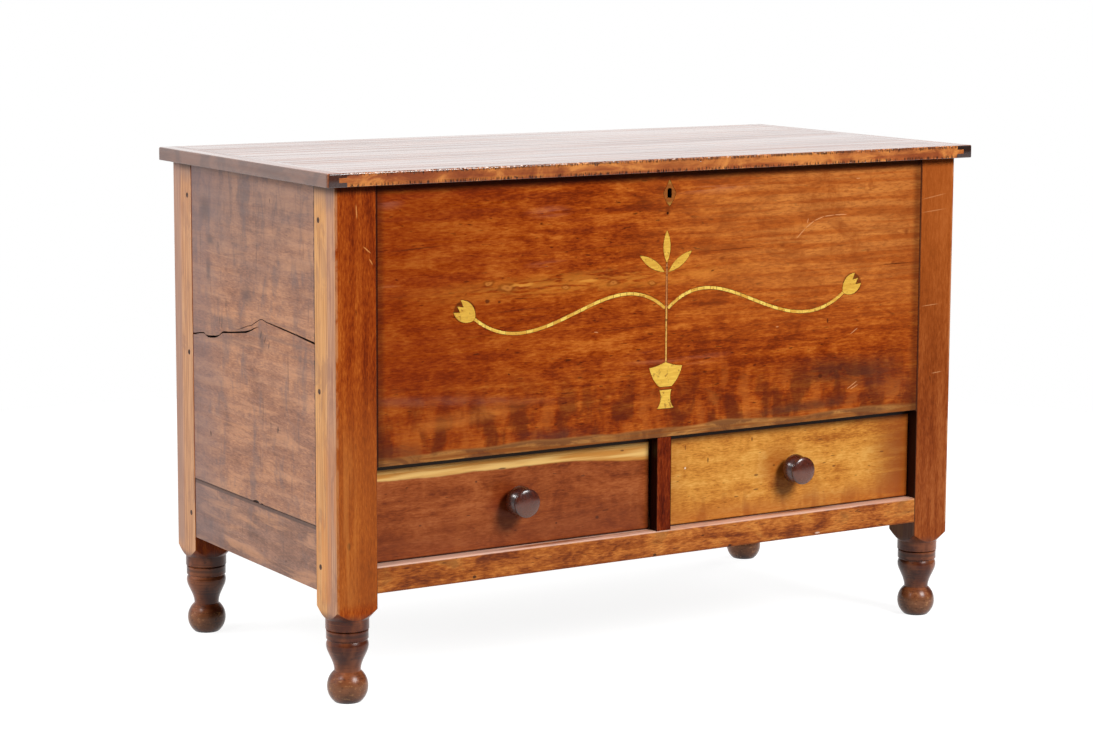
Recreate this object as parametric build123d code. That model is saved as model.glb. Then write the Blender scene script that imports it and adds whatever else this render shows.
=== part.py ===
"""A joined cherry sugar chest: a lidded bin over two drawers, on four turned feet.

Millimetres. +X is to the right of someone facing the chest, +Y runs to its back, +Z is up.
The origin lies on the floor, under the middle of the whole piece.
"""

from build123d import *
import os

# ---------------------------------------------------------------- driving dimensions
# Carcass
carcass_width = 1077.0
carcass_depth = 533.0
carcass_height = 725.0          # floor to the underside of the lid
post_width = 63.5               # square posts, 2 1/2 in
post_edge_round = 1.6
face_setback = 1.0              # boards lie this far behind the faces of the posts
front_board_thickness = 22.0
front_board_bottom = 333.0
front_board_edge_round = 1.2    # lower arris, worn by the drawers
side_board_thickness = 20.0
back_board_thickness = 20.0
board_bottom = 155.5            # lower edge of the rail and of the side and back boards
board_seam_height = 246.0       # joint between the wide upper and the narrow lower boards
board_seam_gap = 0.8
lid_seat_gap = 0.3              # boards stop this far under the lid, which rests on the posts
tenon_thickness = 9.5
tenon_length = 28.0
tenon_setback = 6.0             # face of a board to the face of its tenon
tenon_shoulder = 14.0           # above and below the tenons of the wide boards
rail_tenon_shoulder = 6.0
peg_diameter = 8.0
peg_length = 34.0
peg_from_joint = 13.5           # peg centre to the edge of the post that the board meets
top_peg_below_board = 49.0      # board tops to the upper pegs
middle_peg_height = 438.0
bottom_peg_height = 191.0

# Bottom rail and drawer divider
rail_top = 193.5
rail_thickness = 30.0
rail_edge_round = 2.5
divider_width = 25.0
divider_thickness = 19.0
divider_offset = 2.5            # the divider stands a little right of the middle
divider_tenon_thickness = 9.0
divider_tenon_width = 15.0
divider_tenon_length = 12.0

# Turned feet
foot_flat_radius = 18.9
foot_ball_radius = 29.0
foot_neck_radius = 18.6
foot_neck_height = 46.5
foot_vase_radius = 29.8
foot_vase_height = 83.0
foot_groove_depth = 1.8
foot_lower_groove_height = 89.5
foot_upper_groove_height = 103.5
foot_ring_radius = 29.8
foot_collar_radius = 30.8
pommel_bottom = 119.5
pommel_top = 138.0

# Bin floor and partition
floor_thickness = 19.0
floor_above_opening = 1.0       # underside of the floor over the top of the drawer openings
floor_tongue_thickness = 9.0
floor_tongue_length = 7.0
floor_post_gap = 0.5
floor_lap = 10.0
partition_thickness = 12.0
partition_offset = -166.0       # from the middle of the carcass
partition_housing = 5.0
partition_below_lid = 6.0

# Drawer runners
runner_thickness = 22.0
runner_bearing = 20.0           # width that carries the bottom edge of a drawer side
guide_height = 18.0
runner_tenon_length = 10.0
runner_tenon_width = 30.0
runner_tenon_thickness = 10.0
runner_housing = 6.0

# Drawers
drawer_recess = 19.0            # drawer faces lie this far behind the faces of the posts
drawer_front_thickness = 20.0
drawer_side_gap = 1.5
drawer_bottom_gap = 0.4
drawer_top_gap = 2.6
drawer_back_gap = 0.3
drawer_side_thickness = 12.0
drawer_back_thickness = 12.0
drawer_side_below_front = 3.0
drawer_back_below_side = 8.0
drawer_edge_round = 1.2
drawer_panel_thickness = 9.0
drawer_panel_height = 8.0       # lower edge of a side to the underside of the bottom panel
drawer_panel_groove = 5.0
drawer_panel_edge = 5.0         # thickness left at the bevelled edges of the panel
drawer_panel_bevel = 42.0
dovetail_count = 3
dovetail_lap = 5.0              # wood left in front of the half-blind dovetails
dovetail_pin = 8.0              # width of a pin at its narrow face
dovetail_slope = 1.0 / 6.0

# Turned knobs
knob_projection = 38.0          # drawer face to the rim of the knob's face
knob_dome = 2.0
knob_face_radius = 21.0
knob_rim_thickness = 3.6
knob_groove_depth = 1.4
knob_body_radius = 22.4
knob_body_length = 20.5
knob_neck_radius = 10.0
knob_neck_length = 5.6
knob_foot_flare = 1.8
knob_shoulder_drop = 3.4
knob_tenon_radius = 6.0
knob_tenon_gap = 0.05

# Lid
lid_thickness = 19.5
lid_overhang_front = 15.0
lid_overhang_back = 13.0
lid_overhang_left = 18.5
lid_overhang_right = 23.5
lid_corner_round = 5.0
lid_upper_round = 2.4
lid_lower_round = 1.2
lid_seam_from_front = 305.0     # joint of the two boards, from the face of the front posts
lid_end_width = 30.0            # breadboard ends
lid_tongue_thickness = 6.5
lid_tongue_length = 12.0

# Hinges
hinge_from_corner = 190.0       # end of the carcass to the middle of a hinge
hinge_length = 64.0
hinge_leaf_width = 17.0
hinge_leaf_thickness = 2.0
hinge_leaf_gap = 0.1            # leaf face to the plane of the pin
hinge_knuckle_radius = 3.5
hinge_knuckle_gap = 0.3
hinge_knuckles = 5
hinge_pin_radius = 1.6
hinge_pin_gap = 0.05
hinge_pin_behind_back = 3.0     # pin to the back face of the rear posts
hinge_pin_head = 1.0
hinge_pocket_gap = 0.3
hinge_screws_from_back = 10.0
hinge_screw_pitch = 22.0
hinge_screw_stagger = 2.2
screw_shank_radius = 1.7
screw_head_radius = 3.4
screw_head_depth = 2.6
screw_tip_depth = 3.0
screw_length = 15.0
screw_gap = 0.05

# Lock
keyhole_offset = 7.8            # keyhole to the middle of the carcass
keyhole_width = 7.6
keyhole_height = 14.6
lock_screw_length = 12.0
lock_screw_inset = 5.0          # screw to the edge of the lock's plate
key_pin_below_board_top = 28.2
key_pin_radius = 2.0
key_pin_length = 9.0
lock_plate_width = 76.0
lock_plate_height = 60.0
lock_plate_thickness = 2.0
lock_case_width = 56.0
lock_case_height = 50.0
lock_case_depth = 15.0          # inner face of the front board to the front of the case
lock_case_wall = 1.5
lock_mortise_gap = 0.2
bolt_thickness = 4.0
bolt_height = 5.0
bolt_below_selvage = 0.3
bolt_tip_to_back = 20.0         # tip of the bolt to the back of its C
bolt_limb = 5.0
bolt_foot_top = 13.0            # board top to the upper edge of the limb that the key drives
bolt_foot_bottom = 21.5
bolt_foot_reach = 9.0           # past the tip
bolt_talon_radius = 4.0
bolt_rest_gap = 2.0             # tip of the withdrawn bolt to the side of the staple
bolt_travel = 9.0
bolt_guide_gap = 0.2
bolt_guide_thickness = 3.0
bolt_guide_inset = 0.8          # guide to the slot in the selvage
staple_thickness = 4.0
staple_leg = 2.2
staple_loop_width = 6.0
staple_loop_height = 6.8
staple_bar = 2.4
staple_plate_length = 34.0
staple_plate_width = 15.0
staple_plate_thickness = 2.0
staple_slot_gap = 0.7
staple_screw_inset = 7.0

# Inlay
inlay_offset = 3.8              # axis of the inlay to the middle of the carcass
inlay_depth = 2.0
inlay_filler = 0.55             # dark filler round each inlaid piece
vine_width = 4.4
vine_pieces = 34
vine_below_stem_top = 65.7      # where the vines spring from the stem
vine_left_points = ((-2.4, 0.2), (-70.0, 25.0), (-156.0, 3.2), (-241.7, -19.3), (-323.5, 5.5))
vine_right_points = ((3.2, -0.3), (78.0, 25.3), (156.0, 2.5), (232.0, -20.4), (324.3, 2.7))
stem_width = 2.6
stem_offset = 0.3               # the stem, to the axis of the inlay
leaf_below_escutcheon = 36.4
leaf_length = 47.4
leaf_swell = 6.1
side_leaves_below_stem_top = 12.5
side_leaf_start = 3.7
side_leaf_left = (-43.0, 26.0)  # from the leaf's base to its tip
side_leaf_right = (40.2, 28.5)
tulip_length = 34.0
tulip_half_width = 13.5
tulip_petal_depth = 9.4
tulip_left_angle = 145.0
tulip_right_angle = 36.8
urn_above_board_edge = 43.0
urn_foot_height = 27.3
urn_gap = 5.0                   # foot to bowl
urn_bowl_height = 29.3
urn_peak = 7.2                  # middle of the rim over its ends
urn_rim_half_width = 28.8
urn_bottom_half_width = 10.4
urn_foot_half_width = 14.4
urn_waist = 2.1
escutcheon_height = 38.0
escutcheon_half_width = 11.0

# ---------------------------------------------------------------- places
knob_stand = knob_projection + knob_dome - drawer_recess
middle = (lid_overhang_left - lid_overhang_right) / 2
left = middle - carcass_width / 2
right = middle + carcass_width / 2
front = (knob_stand - carcass_depth - lid_overhang_back) / 2
back = front + carcass_depth
lid_bottom = carcass_height
lid_top = lid_bottom + lid_thickness
board_top = carcass_height - lid_seat_gap
peg_heights = (board_top - top_peg_below_board, middle_peg_height, bottom_peg_height)

post_left_x, post_right_x = left + post_width / 2, right - post_width / 2
post_front_y, post_back_y = front + post_width / 2, back - post_width / 2
post_in_left = left + post_width
post_in_right = right - post_width
post_in_front = front + post_width
post_in_back = back - post_width
face = front + face_setback
inner_front = face + front_board_thickness
inner_left = left + face_setback + side_board_thickness
inner_right = right - face_setback - side_board_thickness
inner_back = back - face_setback - back_board_thickness
divider_left = middle + divider_offset - divider_width / 2
divider_right = divider_left + divider_width
rail_back = face + rail_thickness
floor_bottom = front_board_bottom + floor_above_opening
floor_top = floor_bottom + floor_thickness
partition_x = middle + partition_offset
hinge_pin_y = back + hinge_pin_behind_back
hinge_centres = (left + hinge_from_corner, right - hinge_from_corner)
leaf_front = hinge_pin_y - hinge_knuckle_radius - hinge_leaf_width
keyhole_x = middle + keyhole_offset
key_pin_z = board_top - key_pin_below_board_top
bolt_y = inner_front - lock_plate_thickness - (lock_case_depth - lock_case_wall - lock_plate_thickness) / 2
bolt_z = board_top - lock_plate_thickness - bolt_below_selvage - bolt_height
bolt_tip = keyhole_x - staple_thickness / 2 - bolt_rest_gap
escutcheon_z = key_pin_z + (keyhole_width - keyhole_height) / 2
urn_foot_bottom = front_board_bottom + urn_above_board_edge
urn_foot_top = urn_foot_bottom + urn_foot_height
urn_bottom_height = urn_foot_top + urn_gap
urn_rim_height = urn_bottom_height + urn_bowl_height
stem_foot = urn_rim_height + urn_peak + inlay_filler
stem_top = escutcheon_z - escutcheon_height / 2 - leaf_below_escutcheon - leaf_length
vine_z = stem_top - vine_below_stem_top
inlay_plane = Plane(origin=(middle + inlay_offset, face, 0), x_dir=(1, 0, 0), z_dir=(0, -1, 0))


# ---------------------------------------------------------------- helpers
def block(x0, x1, y0, y1, z0, z1):
    """A box between two corners."""
    return Pos((x0 + x1) / 2, (y0 + y1) / 2, (z0 + z1) / 2) * Box(x1 - x0, y1 - y0, z1 - z0)


def slab(outline, x0, x1):
    """A closed outline of (y, z) points, as thick as x0 to x1."""
    sketch = make_face(Polyline([(y, z) for y, z in outline], close=True))
    return extrude(Plane(origin=(x0, 0, 0), x_dir=(0, 1, 0), z_dir=(1, 0, 0)) * sketch, amount=x1 - x0)


def turned(points_to_face, axis_place):
    """A solid of revolution from a face in the XZ plane."""
    return axis_place * revolve(Plane.XZ * points_to_face, axis=Axis.Z)


def mirrored_x(shape):
    """The same shape on the other side of the middle of the carcass."""
    return mirror(shape, about=Plane(origin=(middle, 0, 0), z_dir=(1, 0, 0)))


def without(shape, *tools):
    """The shape less each of the tools."""
    for tool in tools:
        shape = shape - tool
    return shape


def screw(place, length=screw_length, gap=0.0):
    """A countersunk screw driven down from a place; with a gap, the hole that fits it."""
    shank = screw_shank_radius + gap
    profile = Polyline(
        [
            (0, 0),
            (screw_head_radius + gap, 0),
            (shank, -screw_head_depth),
            (shank, screw_tip_depth - length),
            (0, -length - gap),
        ],
        close=True,
    )
    return turned(make_face(profile), place)


def screws(places, length=screw_length):
    """All the screws of one fitting."""
    return [screw(place, length) for place in places]


def screw_holes(places, length=screw_length):
    """The holes for all the screws of one fitting."""
    return [screw(place, length, screw_gap) for place in places]


# ---------------------------------------------------------------- carcass boards
def cross_board(y0, thickness, z0, z1, tenon_y0, shoulder=tenon_shoulder):
    """A board along X between the posts, with a tenon on each end."""
    body = block(post_in_left, post_in_right, y0, y0 + thickness, z0, z1)
    tenon = block(
        post_in_left - tenon_length,
        post_in_right + tenon_length,
        tenon_y0,
        tenon_y0 + tenon_thickness,
        z0 + shoulder,
        z1 - shoulder,
    )
    return body + tenon


def side_board(z0, z1):
    """A board of the left side, along Y between the posts, with a tenon on each end."""
    outer = left + face_setback
    body = block(outer, inner_left, post_in_front, post_in_back, z0, z1)
    tenon = block(
        outer + tenon_setback,
        outer + tenon_setback + tenon_thickness,
        post_in_front - tenon_length,
        post_in_back + tenon_length,
        z0 + tenon_shoulder,
        z1 - tenon_shoulder,
    )
    return body + tenon


def side_pegs():
    """The six pegs that lock the left side boards' tenons in their posts."""
    places = [post_in_front - peg_from_joint, post_in_back + peg_from_joint]
    peg = Rot(0, 90, 0) * Cylinder(
        peg_diameter / 2, peg_length, align=(Align.CENTER, Align.CENTER, Align.MIN)
    )
    return [Pos(left, y, z) * peg for y in places for z in peg_heights]


def foot_outline():
    """Half the outline of a turned foot, with the pommel cut above it."""
    ball_centre = (foot_ball_radius**2 - foot_flat_radius**2) ** 0.5
    ball_top = ball_centre + (foot_ball_radius**2 - foot_neck_radius**2) ** 0.5
    corner_radius = post_width * 0.75
    groove = foot_groove_depth
    ball = ThreePointArc(
        (foot_flat_radius, 0), (foot_ball_radius, ball_centre), (foot_neck_radius, ball_top)
    )
    vase = Spline(
        [
            (foot_neck_radius, ball_top),
            (foot_neck_radius + 0.2, foot_neck_height + 1.5),
            (foot_neck_radius + 5.4, (foot_neck_height + foot_vase_height) / 2 - 1.0),
            (foot_vase_radius, foot_vase_height),
            (foot_vase_radius - groove, foot_lower_groove_height - 1.0),
        ]
    )
    upper = Polyline(
        [
            (foot_vase_radius - groove, foot_lower_groove_height - 1.0),
            (foot_ring_radius - groove, foot_lower_groove_height),
            (foot_ring_radius, foot_lower_groove_height + 1.2),
            (foot_ring_radius, foot_upper_groove_height - 1.2),
            (foot_ring_radius - groove, foot_upper_groove_height),
            (foot_collar_radius, foot_upper_groove_height + 1.4),
            (foot_collar_radius, pommel_bottom),
            (corner_radius, pommel_top),
            (corner_radius, carcass_height + 1.0),
            (0, carcass_height + 1.0),
            (0, 0),
            (foot_flat_radius, 0),
        ]
    )
    return make_face([*ball.edges(), *vase.edges(), *upper.edges()])


def post(x, y, *joined):
    """A square post turned to a foot below, with mortises for the pieces that join it."""
    half = post_width / 2
    square = block(x - half, x + half, y - half, y + half, 0, carcass_height)
    square = fillet(square.edges().filter_by(Axis.Z), post_edge_round)
    return without(square & turned(foot_outline(), Pos(x, y, 0)), *joined)


front_blank = cross_board(
    face, front_board_thickness, front_board_bottom, board_top, face + tenon_setback
)
bottom_rail = cross_board(
    face, rail_thickness, board_bottom, rail_top, face + tenon_setback, rail_tenon_shoulder
)
back_tenon_y = back - face_setback - tenon_setback - tenon_thickness
seam_low = board_seam_height - board_seam_gap / 2
seam_high = board_seam_height + board_seam_gap / 2
back_upper = cross_board(inner_back, back_board_thickness, seam_high, board_top, back_tenon_y)
back_lower = cross_board(inner_back, back_board_thickness, board_bottom, seam_low, back_tenon_y)
side_upper = side_board(seam_high, board_top)
side_lower = side_board(board_bottom, seam_low)
pegs_left = side_pegs()

# ---------------------------------------------------------------- bin floor and partition
def bin_floor():
    """The two lapped boards of the bin floor, tongued into the boards round it."""
    tongue_bottom = floor_top - floor_tongue_thickness
    reach = floor_tongue_length
    panel = block(inner_left, inner_right, inner_front, inner_back, floor_bottom, floor_top)
    tongue = block(
        inner_left - reach, inner_right + reach, inner_front - reach, inner_back + reach,
        tongue_bottom, floor_top,
    )
    whole = panel + tongue
    gap = floor_post_gap
    for x0, x1 in ((left, post_in_left + gap), (post_in_right - gap, right)):
        for y0, y1 in ((front, post_in_front + gap), (post_in_back - gap, back)):
            whole = whole - block(x0, x1, y0, y1, floor_bottom - 1, floor_top + 1)
    seam = (front + back) / 2
    mid_z = floor_bottom + floor_thickness / 2
    front_half = block(left, right, front, seam, floor_bottom, floor_top)
    front_half = front_half + block(left, right, seam, seam + floor_lap, floor_bottom, mid_z)
    return whole & front_half, whole - front_half


floor_front, floor_back = bin_floor()
partition = block(
    partition_x - partition_thickness / 2,
    partition_x + partition_thickness / 2,
    inner_front - partition_housing,
    inner_back + partition_housing,
    floor_top,
    board_top - partition_below_lid,
)
partition_slide = block(
    partition_x - partition_thickness / 2,
    partition_x + partition_thickness / 2,
    inner_front - partition_housing,
    inner_back + partition_housing,
    floor_top,
    board_top + 1,
)

# ---------------------------------------------------------------- drawer runners and divider
def side_runner():
    """The left runner, with the guide strip left standing on it between the posts."""
    bearing = block(
        inner_left, post_in_left + runner_bearing, rail_back, inner_back,
        rail_top - runner_thickness, rail_top,
    )
    posts = [
        block(left, post_in_left, front, post_in_front, 0, carcass_height),
        block(left, post_in_left, post_in_back, back, 0, carcass_height),
    ]
    guide = block(inner_left, post_in_left, post_in_front, post_in_back, rail_top, rail_top + guide_height)
    return without(bearing, *posts) + guide


def centre_runner():
    """The runner behind the divider, stub-tenoned in the rail and housed in the back board."""
    bearing = block(
        divider_left - runner_bearing, divider_right + runner_bearing, rail_back,
        inner_back + runner_housing, rail_top - runner_thickness, rail_top,
    )
    guide = block(
        divider_left, divider_right, face + divider_thickness, inner_back,
        rail_top, rail_top + guide_height,
    )
    centre = (divider_left + divider_right) / 2
    middle_z = rail_top - runner_thickness / 2
    tenon = block(
        centre - runner_tenon_width / 2, centre + runner_tenon_width / 2,
        rail_back - runner_tenon_length, rail_back,
        middle_z - runner_tenon_thickness / 2, middle_z + runner_tenon_thickness / 2,
    )
    return bearing + guide + tenon


def divider():
    """The short upright between the drawers, tenoned up and down."""
    body = block(divider_left, divider_right, face, face + divider_thickness, rail_top, front_board_bottom)
    centre = (divider_left + divider_right) / 2
    tenon_y = face + (divider_thickness - divider_tenon_thickness) / 2
    tenon = block(
        centre - divider_tenon_width / 2, centre + divider_tenon_width / 2,
        tenon_y, tenon_y + divider_tenon_thickness,
        rail_top - divider_tenon_length, front_board_bottom + divider_tenon_length,
    )
    return body + tenon


runner_left = side_runner()
runner_right = mirrored_x(runner_left)
runner_centre = centre_runner()
drawer_divider = divider()

# ---------------------------------------------------------------- lock
slot_half_x = staple_thickness / 2 + staple_slot_gap
staple_half_y = staple_loop_width / 2 + staple_leg
slot_half_y = staple_half_y + staple_slot_gap
eye_bottom = bolt_z + (bolt_height - staple_loop_height) / 2


def keyhole(y0, y1):
    """The keyhole's slot: round at the top, square at the bottom."""
    radius = keyhole_width / 2
    bottom = key_pin_z + radius - keyhole_height
    slot = block(keyhole_x - radius, keyhole_x + radius, y0, y1, bottom, key_pin_z)
    crown = Pos(keyhole_x, (y0 + y1) / 2, key_pin_z) * Rot(90, 0, 0) * Cylinder(radius, y1 - y0)
    return slot + crown


def lock_case_box(shrink, y_back):
    """The block that the lock's case fills, taken in by shrink on every side but the back."""
    half = lock_case_width / 2 - shrink
    return block(
        keyhole_x - half, keyhole_x + half,
        inner_front - lock_case_depth + shrink, y_back,
        board_top - lock_case_height + shrink, board_top - lock_plate_thickness,
    )


def lock_plate():
    """Back plate and selvage of the lock, with the key's drill pin riveted in."""
    half = lock_plate_width / 2
    plate = block(
        keyhole_x - half, keyhole_x + half, inner_front - lock_plate_thickness, inner_front,
        board_top - lock_plate_height, board_top,
    )
    selvage = block(
        keyhole_x - half, keyhole_x + half, inner_front - lock_case_depth, inner_front,
        board_top - lock_plate_thickness, board_top,
    )
    slot = block(
        keyhole_x - slot_half_x, keyhole_x + slot_half_x, bolt_y - slot_half_y, bolt_y + slot_half_y,
        board_top - lock_plate_thickness - 1, board_top + 1,
    )
    pin = Pos(keyhole_x, inner_front - lock_plate_thickness, key_pin_z) * Rot(90, 0, 0) * Cylinder(
        key_pin_radius, key_pin_length, align=(Align.CENTER, Align.CENTER, Align.MIN)
    )
    return plate + selvage - slot + pin


def lock_bolt():
    """The sliding bolt, a C whose lower limb has the notch that the key's bit drives."""
    y0, y1 = bolt_y - bolt_thickness / 2, bolt_y + bolt_thickness / 2
    back_edge = bolt_tip - bolt_tip_to_back
    foot_bottom = board_top - bolt_foot_bottom
    bar = block(back_edge, bolt_tip, y0, y1, bolt_z, bolt_z + bolt_height)
    limb = block(back_edge, back_edge + bolt_limb, y0, y1, foot_bottom, bolt_z)
    foot = block(
        back_edge, bolt_tip + bolt_foot_reach, y0, y1, foot_bottom, board_top - bolt_foot_top
    )
    talon = Pos(keyhole_x - bolt_travel / 2, bolt_y, foot_bottom) * (
        Rot(90, 0, 0) * Cylinder(bolt_talon_radius, bolt_thickness + 2)
    )
    return bar + limb + foot - talon


def bolt_guides():
    """Two bridges in the case that the bolt's bar slides through, left and right of the staple."""
    inner = slot_half_x + bolt_guide_inset
    depth = (inner_front - lock_case_depth, inner_front - lock_plate_thickness)
    gap = bolt_guide_gap
    bottom = bolt_z - bolt_guide_thickness
    top = board_top - lock_plate_thickness
    window = block(
        keyhole_x - lock_case_width, keyhole_x + lock_case_width,
        bolt_y - bolt_thickness / 2 - gap, bolt_y + bolt_thickness / 2 + gap, bolt_z - gap, top + 1,
    )
    guides = [
        block(keyhole_x - inner - bolt_guide_thickness, keyhole_x - inner, *depth, bottom, top),
        block(keyhole_x + inner, keyhole_x + inner + bolt_guide_thickness, *depth, bottom, top),
    ]
    return [guide - window for guide in guides]


def lock_staple():
    """The lid's staple: a plate let into the lid, with a loop that hangs down into the lock."""
    plate = block(
        keyhole_x - staple_plate_length / 2, keyhole_x + staple_plate_length / 2,
        bolt_y - staple_plate_width / 2, bolt_y + staple_plate_width / 2,
        lid_bottom, lid_bottom + staple_plate_thickness,
    )
    half_x = staple_thickness / 2
    loop = block(
        keyhole_x - half_x, keyhole_x + half_x,
        bolt_y - staple_half_y, bolt_y + staple_half_y, eye_bottom - staple_bar, lid_bottom,
    )
    eye = block(
        keyhole_x - half_x - 1, keyhole_x + half_x + 1,
        bolt_y - staple_loop_width / 2, bolt_y + staple_loop_width / 2,
        eye_bottom, eye_bottom + staple_loop_height,
    )
    return plate + loop - eye


mortise_gap = lock_mortise_gap
lock_mortise = block(
    keyhole_x - lock_case_width / 2 - mortise_gap, keyhole_x + lock_case_width / 2 + mortise_gap,
    inner_front - lock_case_depth - mortise_gap, inner_front + 1,
    board_top - lock_case_height - mortise_gap, board_top + 1,
)
plate_bed = block(
    keyhole_x - lock_plate_width / 2, keyhole_x + lock_plate_width / 2,
    inner_front - lock_plate_thickness, inner_front + 1, board_top - lock_plate_height, board_top + 1,
)
selvage_bed = block(
    keyhole_x - lock_plate_width / 2, keyhole_x + lock_plate_width / 2,
    inner_front - lock_case_depth, inner_front + 1, board_top - lock_plate_thickness, board_top + 1,
)
lock_case = without(
    lock_case_box(0, inner_front - lock_plate_thickness),
    lock_case_box(lock_case_wall, inner_front),
    keyhole(inner_front - lock_case_depth - 1, inner_front - lock_case_depth + lock_case_wall + 1),
)
for guide in bolt_guides():
    lock_case = lock_case + guide
staple_screw_x = staple_plate_length / 2 - staple_screw_inset
staple_screw_places = [
    Pos(keyhole_x + side * staple_screw_x, bolt_y, lid_bottom) * Rot(180, 0, 0) for side in (-1, 1)
]
lock_screw_x = lock_plate_width / 2 - lock_screw_inset
lock_screw_heights = (
    board_top - lock_plate_thickness - lock_screw_inset,
    board_top - lock_plate_height + lock_screw_inset,
)
lock_screw_places = [
    Pos(keyhole_x + side * lock_screw_x, inner_front, z) * Rot(-90, 0, 0)
    for side in (-1, 1)
    for z in lock_screw_heights
]

# ---------------------------------------------------------------- inlay
def inlaid(sketch):
    """A piece of light wood let into the face of the front board."""
    return extrude(inlay_plane * sketch, amount=-inlay_depth)


def pocket(sketch):
    """The recess for an inlaid piece, cut from just in front of the board."""
    start = 1.0
    return extrude(Pos(0, -start, 0) * (inlay_plane * sketch), amount=-(inlay_depth + start))


def leaf(base, reach, swell=1.0):
    """A pointed leaf from its base to a tip that lies reach away, bounded by two arcs."""
    start = Vector(*base)
    end = start + Vector(*reach)
    bulge = (end - start).normalized().rotate(Axis.Z, 90) * leaf_swell * swell
    left_edge = ThreePointArc(start, (start + end) / 2 + bulge, end)
    right_edge = ThreePointArc(end, (start + end) / 2 - bulge, start)
    return make_face([*left_edge.edges(), *right_edge.edges()])


def tulip(joint, angle):
    """A three-petalled tulip in outline, opening away from its joint with the end of a vine."""
    tip, wide, neck = tulip_length, tulip_half_width, vine_width / 2
    notch = tip - tulip_petal_depth
    petal, gap = wide * 0.76, wide * 0.33
    lower = ThreePointArc((0, -neck), (tip * 0.4, -wide), (tip, -petal))
    petals = Polyline([(tip, -petal), (notch, -gap), (tip, 0), (notch, gap), (tip, petal)])
    upper = ThreePointArc((tip, petal), (tip * 0.4, wide), (0, neck))
    base = Line((0, neck), (0, -neck))
    outline = make_face([*lower.edges(), *petals.edges(), *upper.edges(), *base.edges()])
    return Pos(joint[0], vine_z + joint[1]) * Rot(0, 0, angle) * outline


def vine_edges(points, half_width):
    """Matching points down both edges of a vine, one pair for each joint between its pieces."""
    line = Spline([Vector(x, vine_z + rise) for x, rise in points])
    pairs = []
    for step in range(vine_pieces + 1):
        place = line.position_at(step / vine_pieces)
        across = line.tangent_at(step / vine_pieces).rotate(Axis.Z, 90) * half_width
        pairs.append((place + across, place - across))
    return pairs


def vine_piece_faces(points, flower):
    """The short straight pieces of a vine, the first cut to the stem and the last to its flower."""
    pairs = vine_edges(points, vine_width / 2)
    faces = [
        make_face(Polyline([a_up, b_up, b_low, a_low], close=True))
        for (a_up, a_low), (b_up, b_low) in zip(pairs, pairs[1:])
    ]
    faces[0] = faces[0] - offset(stem_face, amount=inlay_filler)
    faces[-1] = faces[-1] - offset(flower, amount=inlay_filler)
    return faces


def vine_pocket_face(points):
    """The one groove that holds all the pieces of a vine."""
    pairs = vine_edges(points, vine_width / 2 + inlay_filler)
    around = [upper for upper, lower in pairs] + [lower for upper, lower in reversed(pairs)]
    return make_face(Polyline(around, close=True))


def urn_bowl():
    """The bowl of the urn, with a raised middle to its rim."""
    rim, wide = urn_rim_height, urn_rim_half_width
    low, narrow = urn_bottom_height, urn_bottom_half_width
    peak = rim + urn_peak
    shoulder_z, belly_z = rim + urn_peak * 0.3, low + urn_bowl_height * 0.43
    bottom = Line((-narrow, low), (narrow, low))
    right_side = ThreePointArc((narrow, low), (wide * 0.75, belly_z), (wide, rim))
    right_top = ThreePointArc((wide, rim), (wide / 2, shoulder_z), (0, peak))
    left_top = ThreePointArc((0, peak), (-wide / 2, shoulder_z), (-wide, rim))
    left_side = ThreePointArc((-wide, rim), (-wide * 0.75, belly_z), (-narrow, low))
    return make_face(
        [*bottom.edges(), *right_side.edges(), *right_top.edges(), *left_top.edges(), *left_side.edges()]
    )


def urn_foot():
    """The waisted foot under the urn's bowl."""
    high, low = urn_foot_top, urn_foot_bottom
    top_half, foot_half = urn_bottom_half_width, urn_foot_half_width
    waist_half, waist = top_half - urn_waist, low + urn_foot_height * 0.55
    top = Line((-top_half, high), (top_half, high))
    right_side = ThreePointArc((top_half, high), (waist_half, waist), (foot_half, low))
    bottom = Line((foot_half, low), (-foot_half, low))
    left_side = ThreePointArc((-foot_half, low), (-waist_half, waist), (-top_half, high))
    return make_face([*top.edges(), *right_side.edges(), *bottom.edges(), *left_side.edges()])


def escutcheon():
    """The lozenge of light wood round the keyhole."""
    centre_x = keyhole_x - middle - inlay_offset
    high, low = escutcheon_z + escutcheon_height / 2, escutcheon_z - escutcheon_height / 2
    wide = escutcheon_half_width
    belly, belly_z = wide * 0.62, escutcheon_z - escutcheon_height * 0.27
    right_corner, left_corner = (centre_x + wide, escutcheon_z), (centre_x - wide, escutcheon_z)
    top = Polyline([left_corner, (centre_x, high), right_corner])
    right_side = ThreePointArc(right_corner, (centre_x + belly, belly_z), (centre_x, low))
    left_side = ThreePointArc((centre_x, low), (centre_x - belly, belly_z), left_corner)
    return make_face([*top.edges(), *right_side.edges(), *left_side.edges()])


side_leaf_z = stem_top - side_leaves_below_stem_top
leaf_faces = [
    leaf((stem_offset, stem_top + inlay_filler), (0, leaf_length)),
    leaf((-side_leaf_start, side_leaf_z), side_leaf_left),
    leaf((side_leaf_start, side_leaf_z), side_leaf_right),
]
stem_face = Pos(stem_offset, (stem_foot + stem_top) / 2) * Rectangle(stem_width, stem_top - stem_foot)
tulip_left = tulip(vine_left_points[-1], tulip_left_angle)
tulip_right = tulip(vine_right_points[-1], tulip_right_angle)
vine_left_pieces = [inlaid(piece) for piece in vine_piece_faces(vine_left_points, tulip_left)]
vine_right_pieces = [inlaid(piece) for piece in vine_piece_faces(vine_right_points, tulip_right)]
single_faces = [*leaf_faces, stem_face, tulip_left, tulip_right, urn_bowl(), urn_foot(), escutcheon()]
pockets = [pocket(offset(one, amount=inlay_filler)) for one in single_faces]
pockets += [pocket(vine_pocket_face(points)) for points in (vine_left_points, vine_right_points)]

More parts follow.
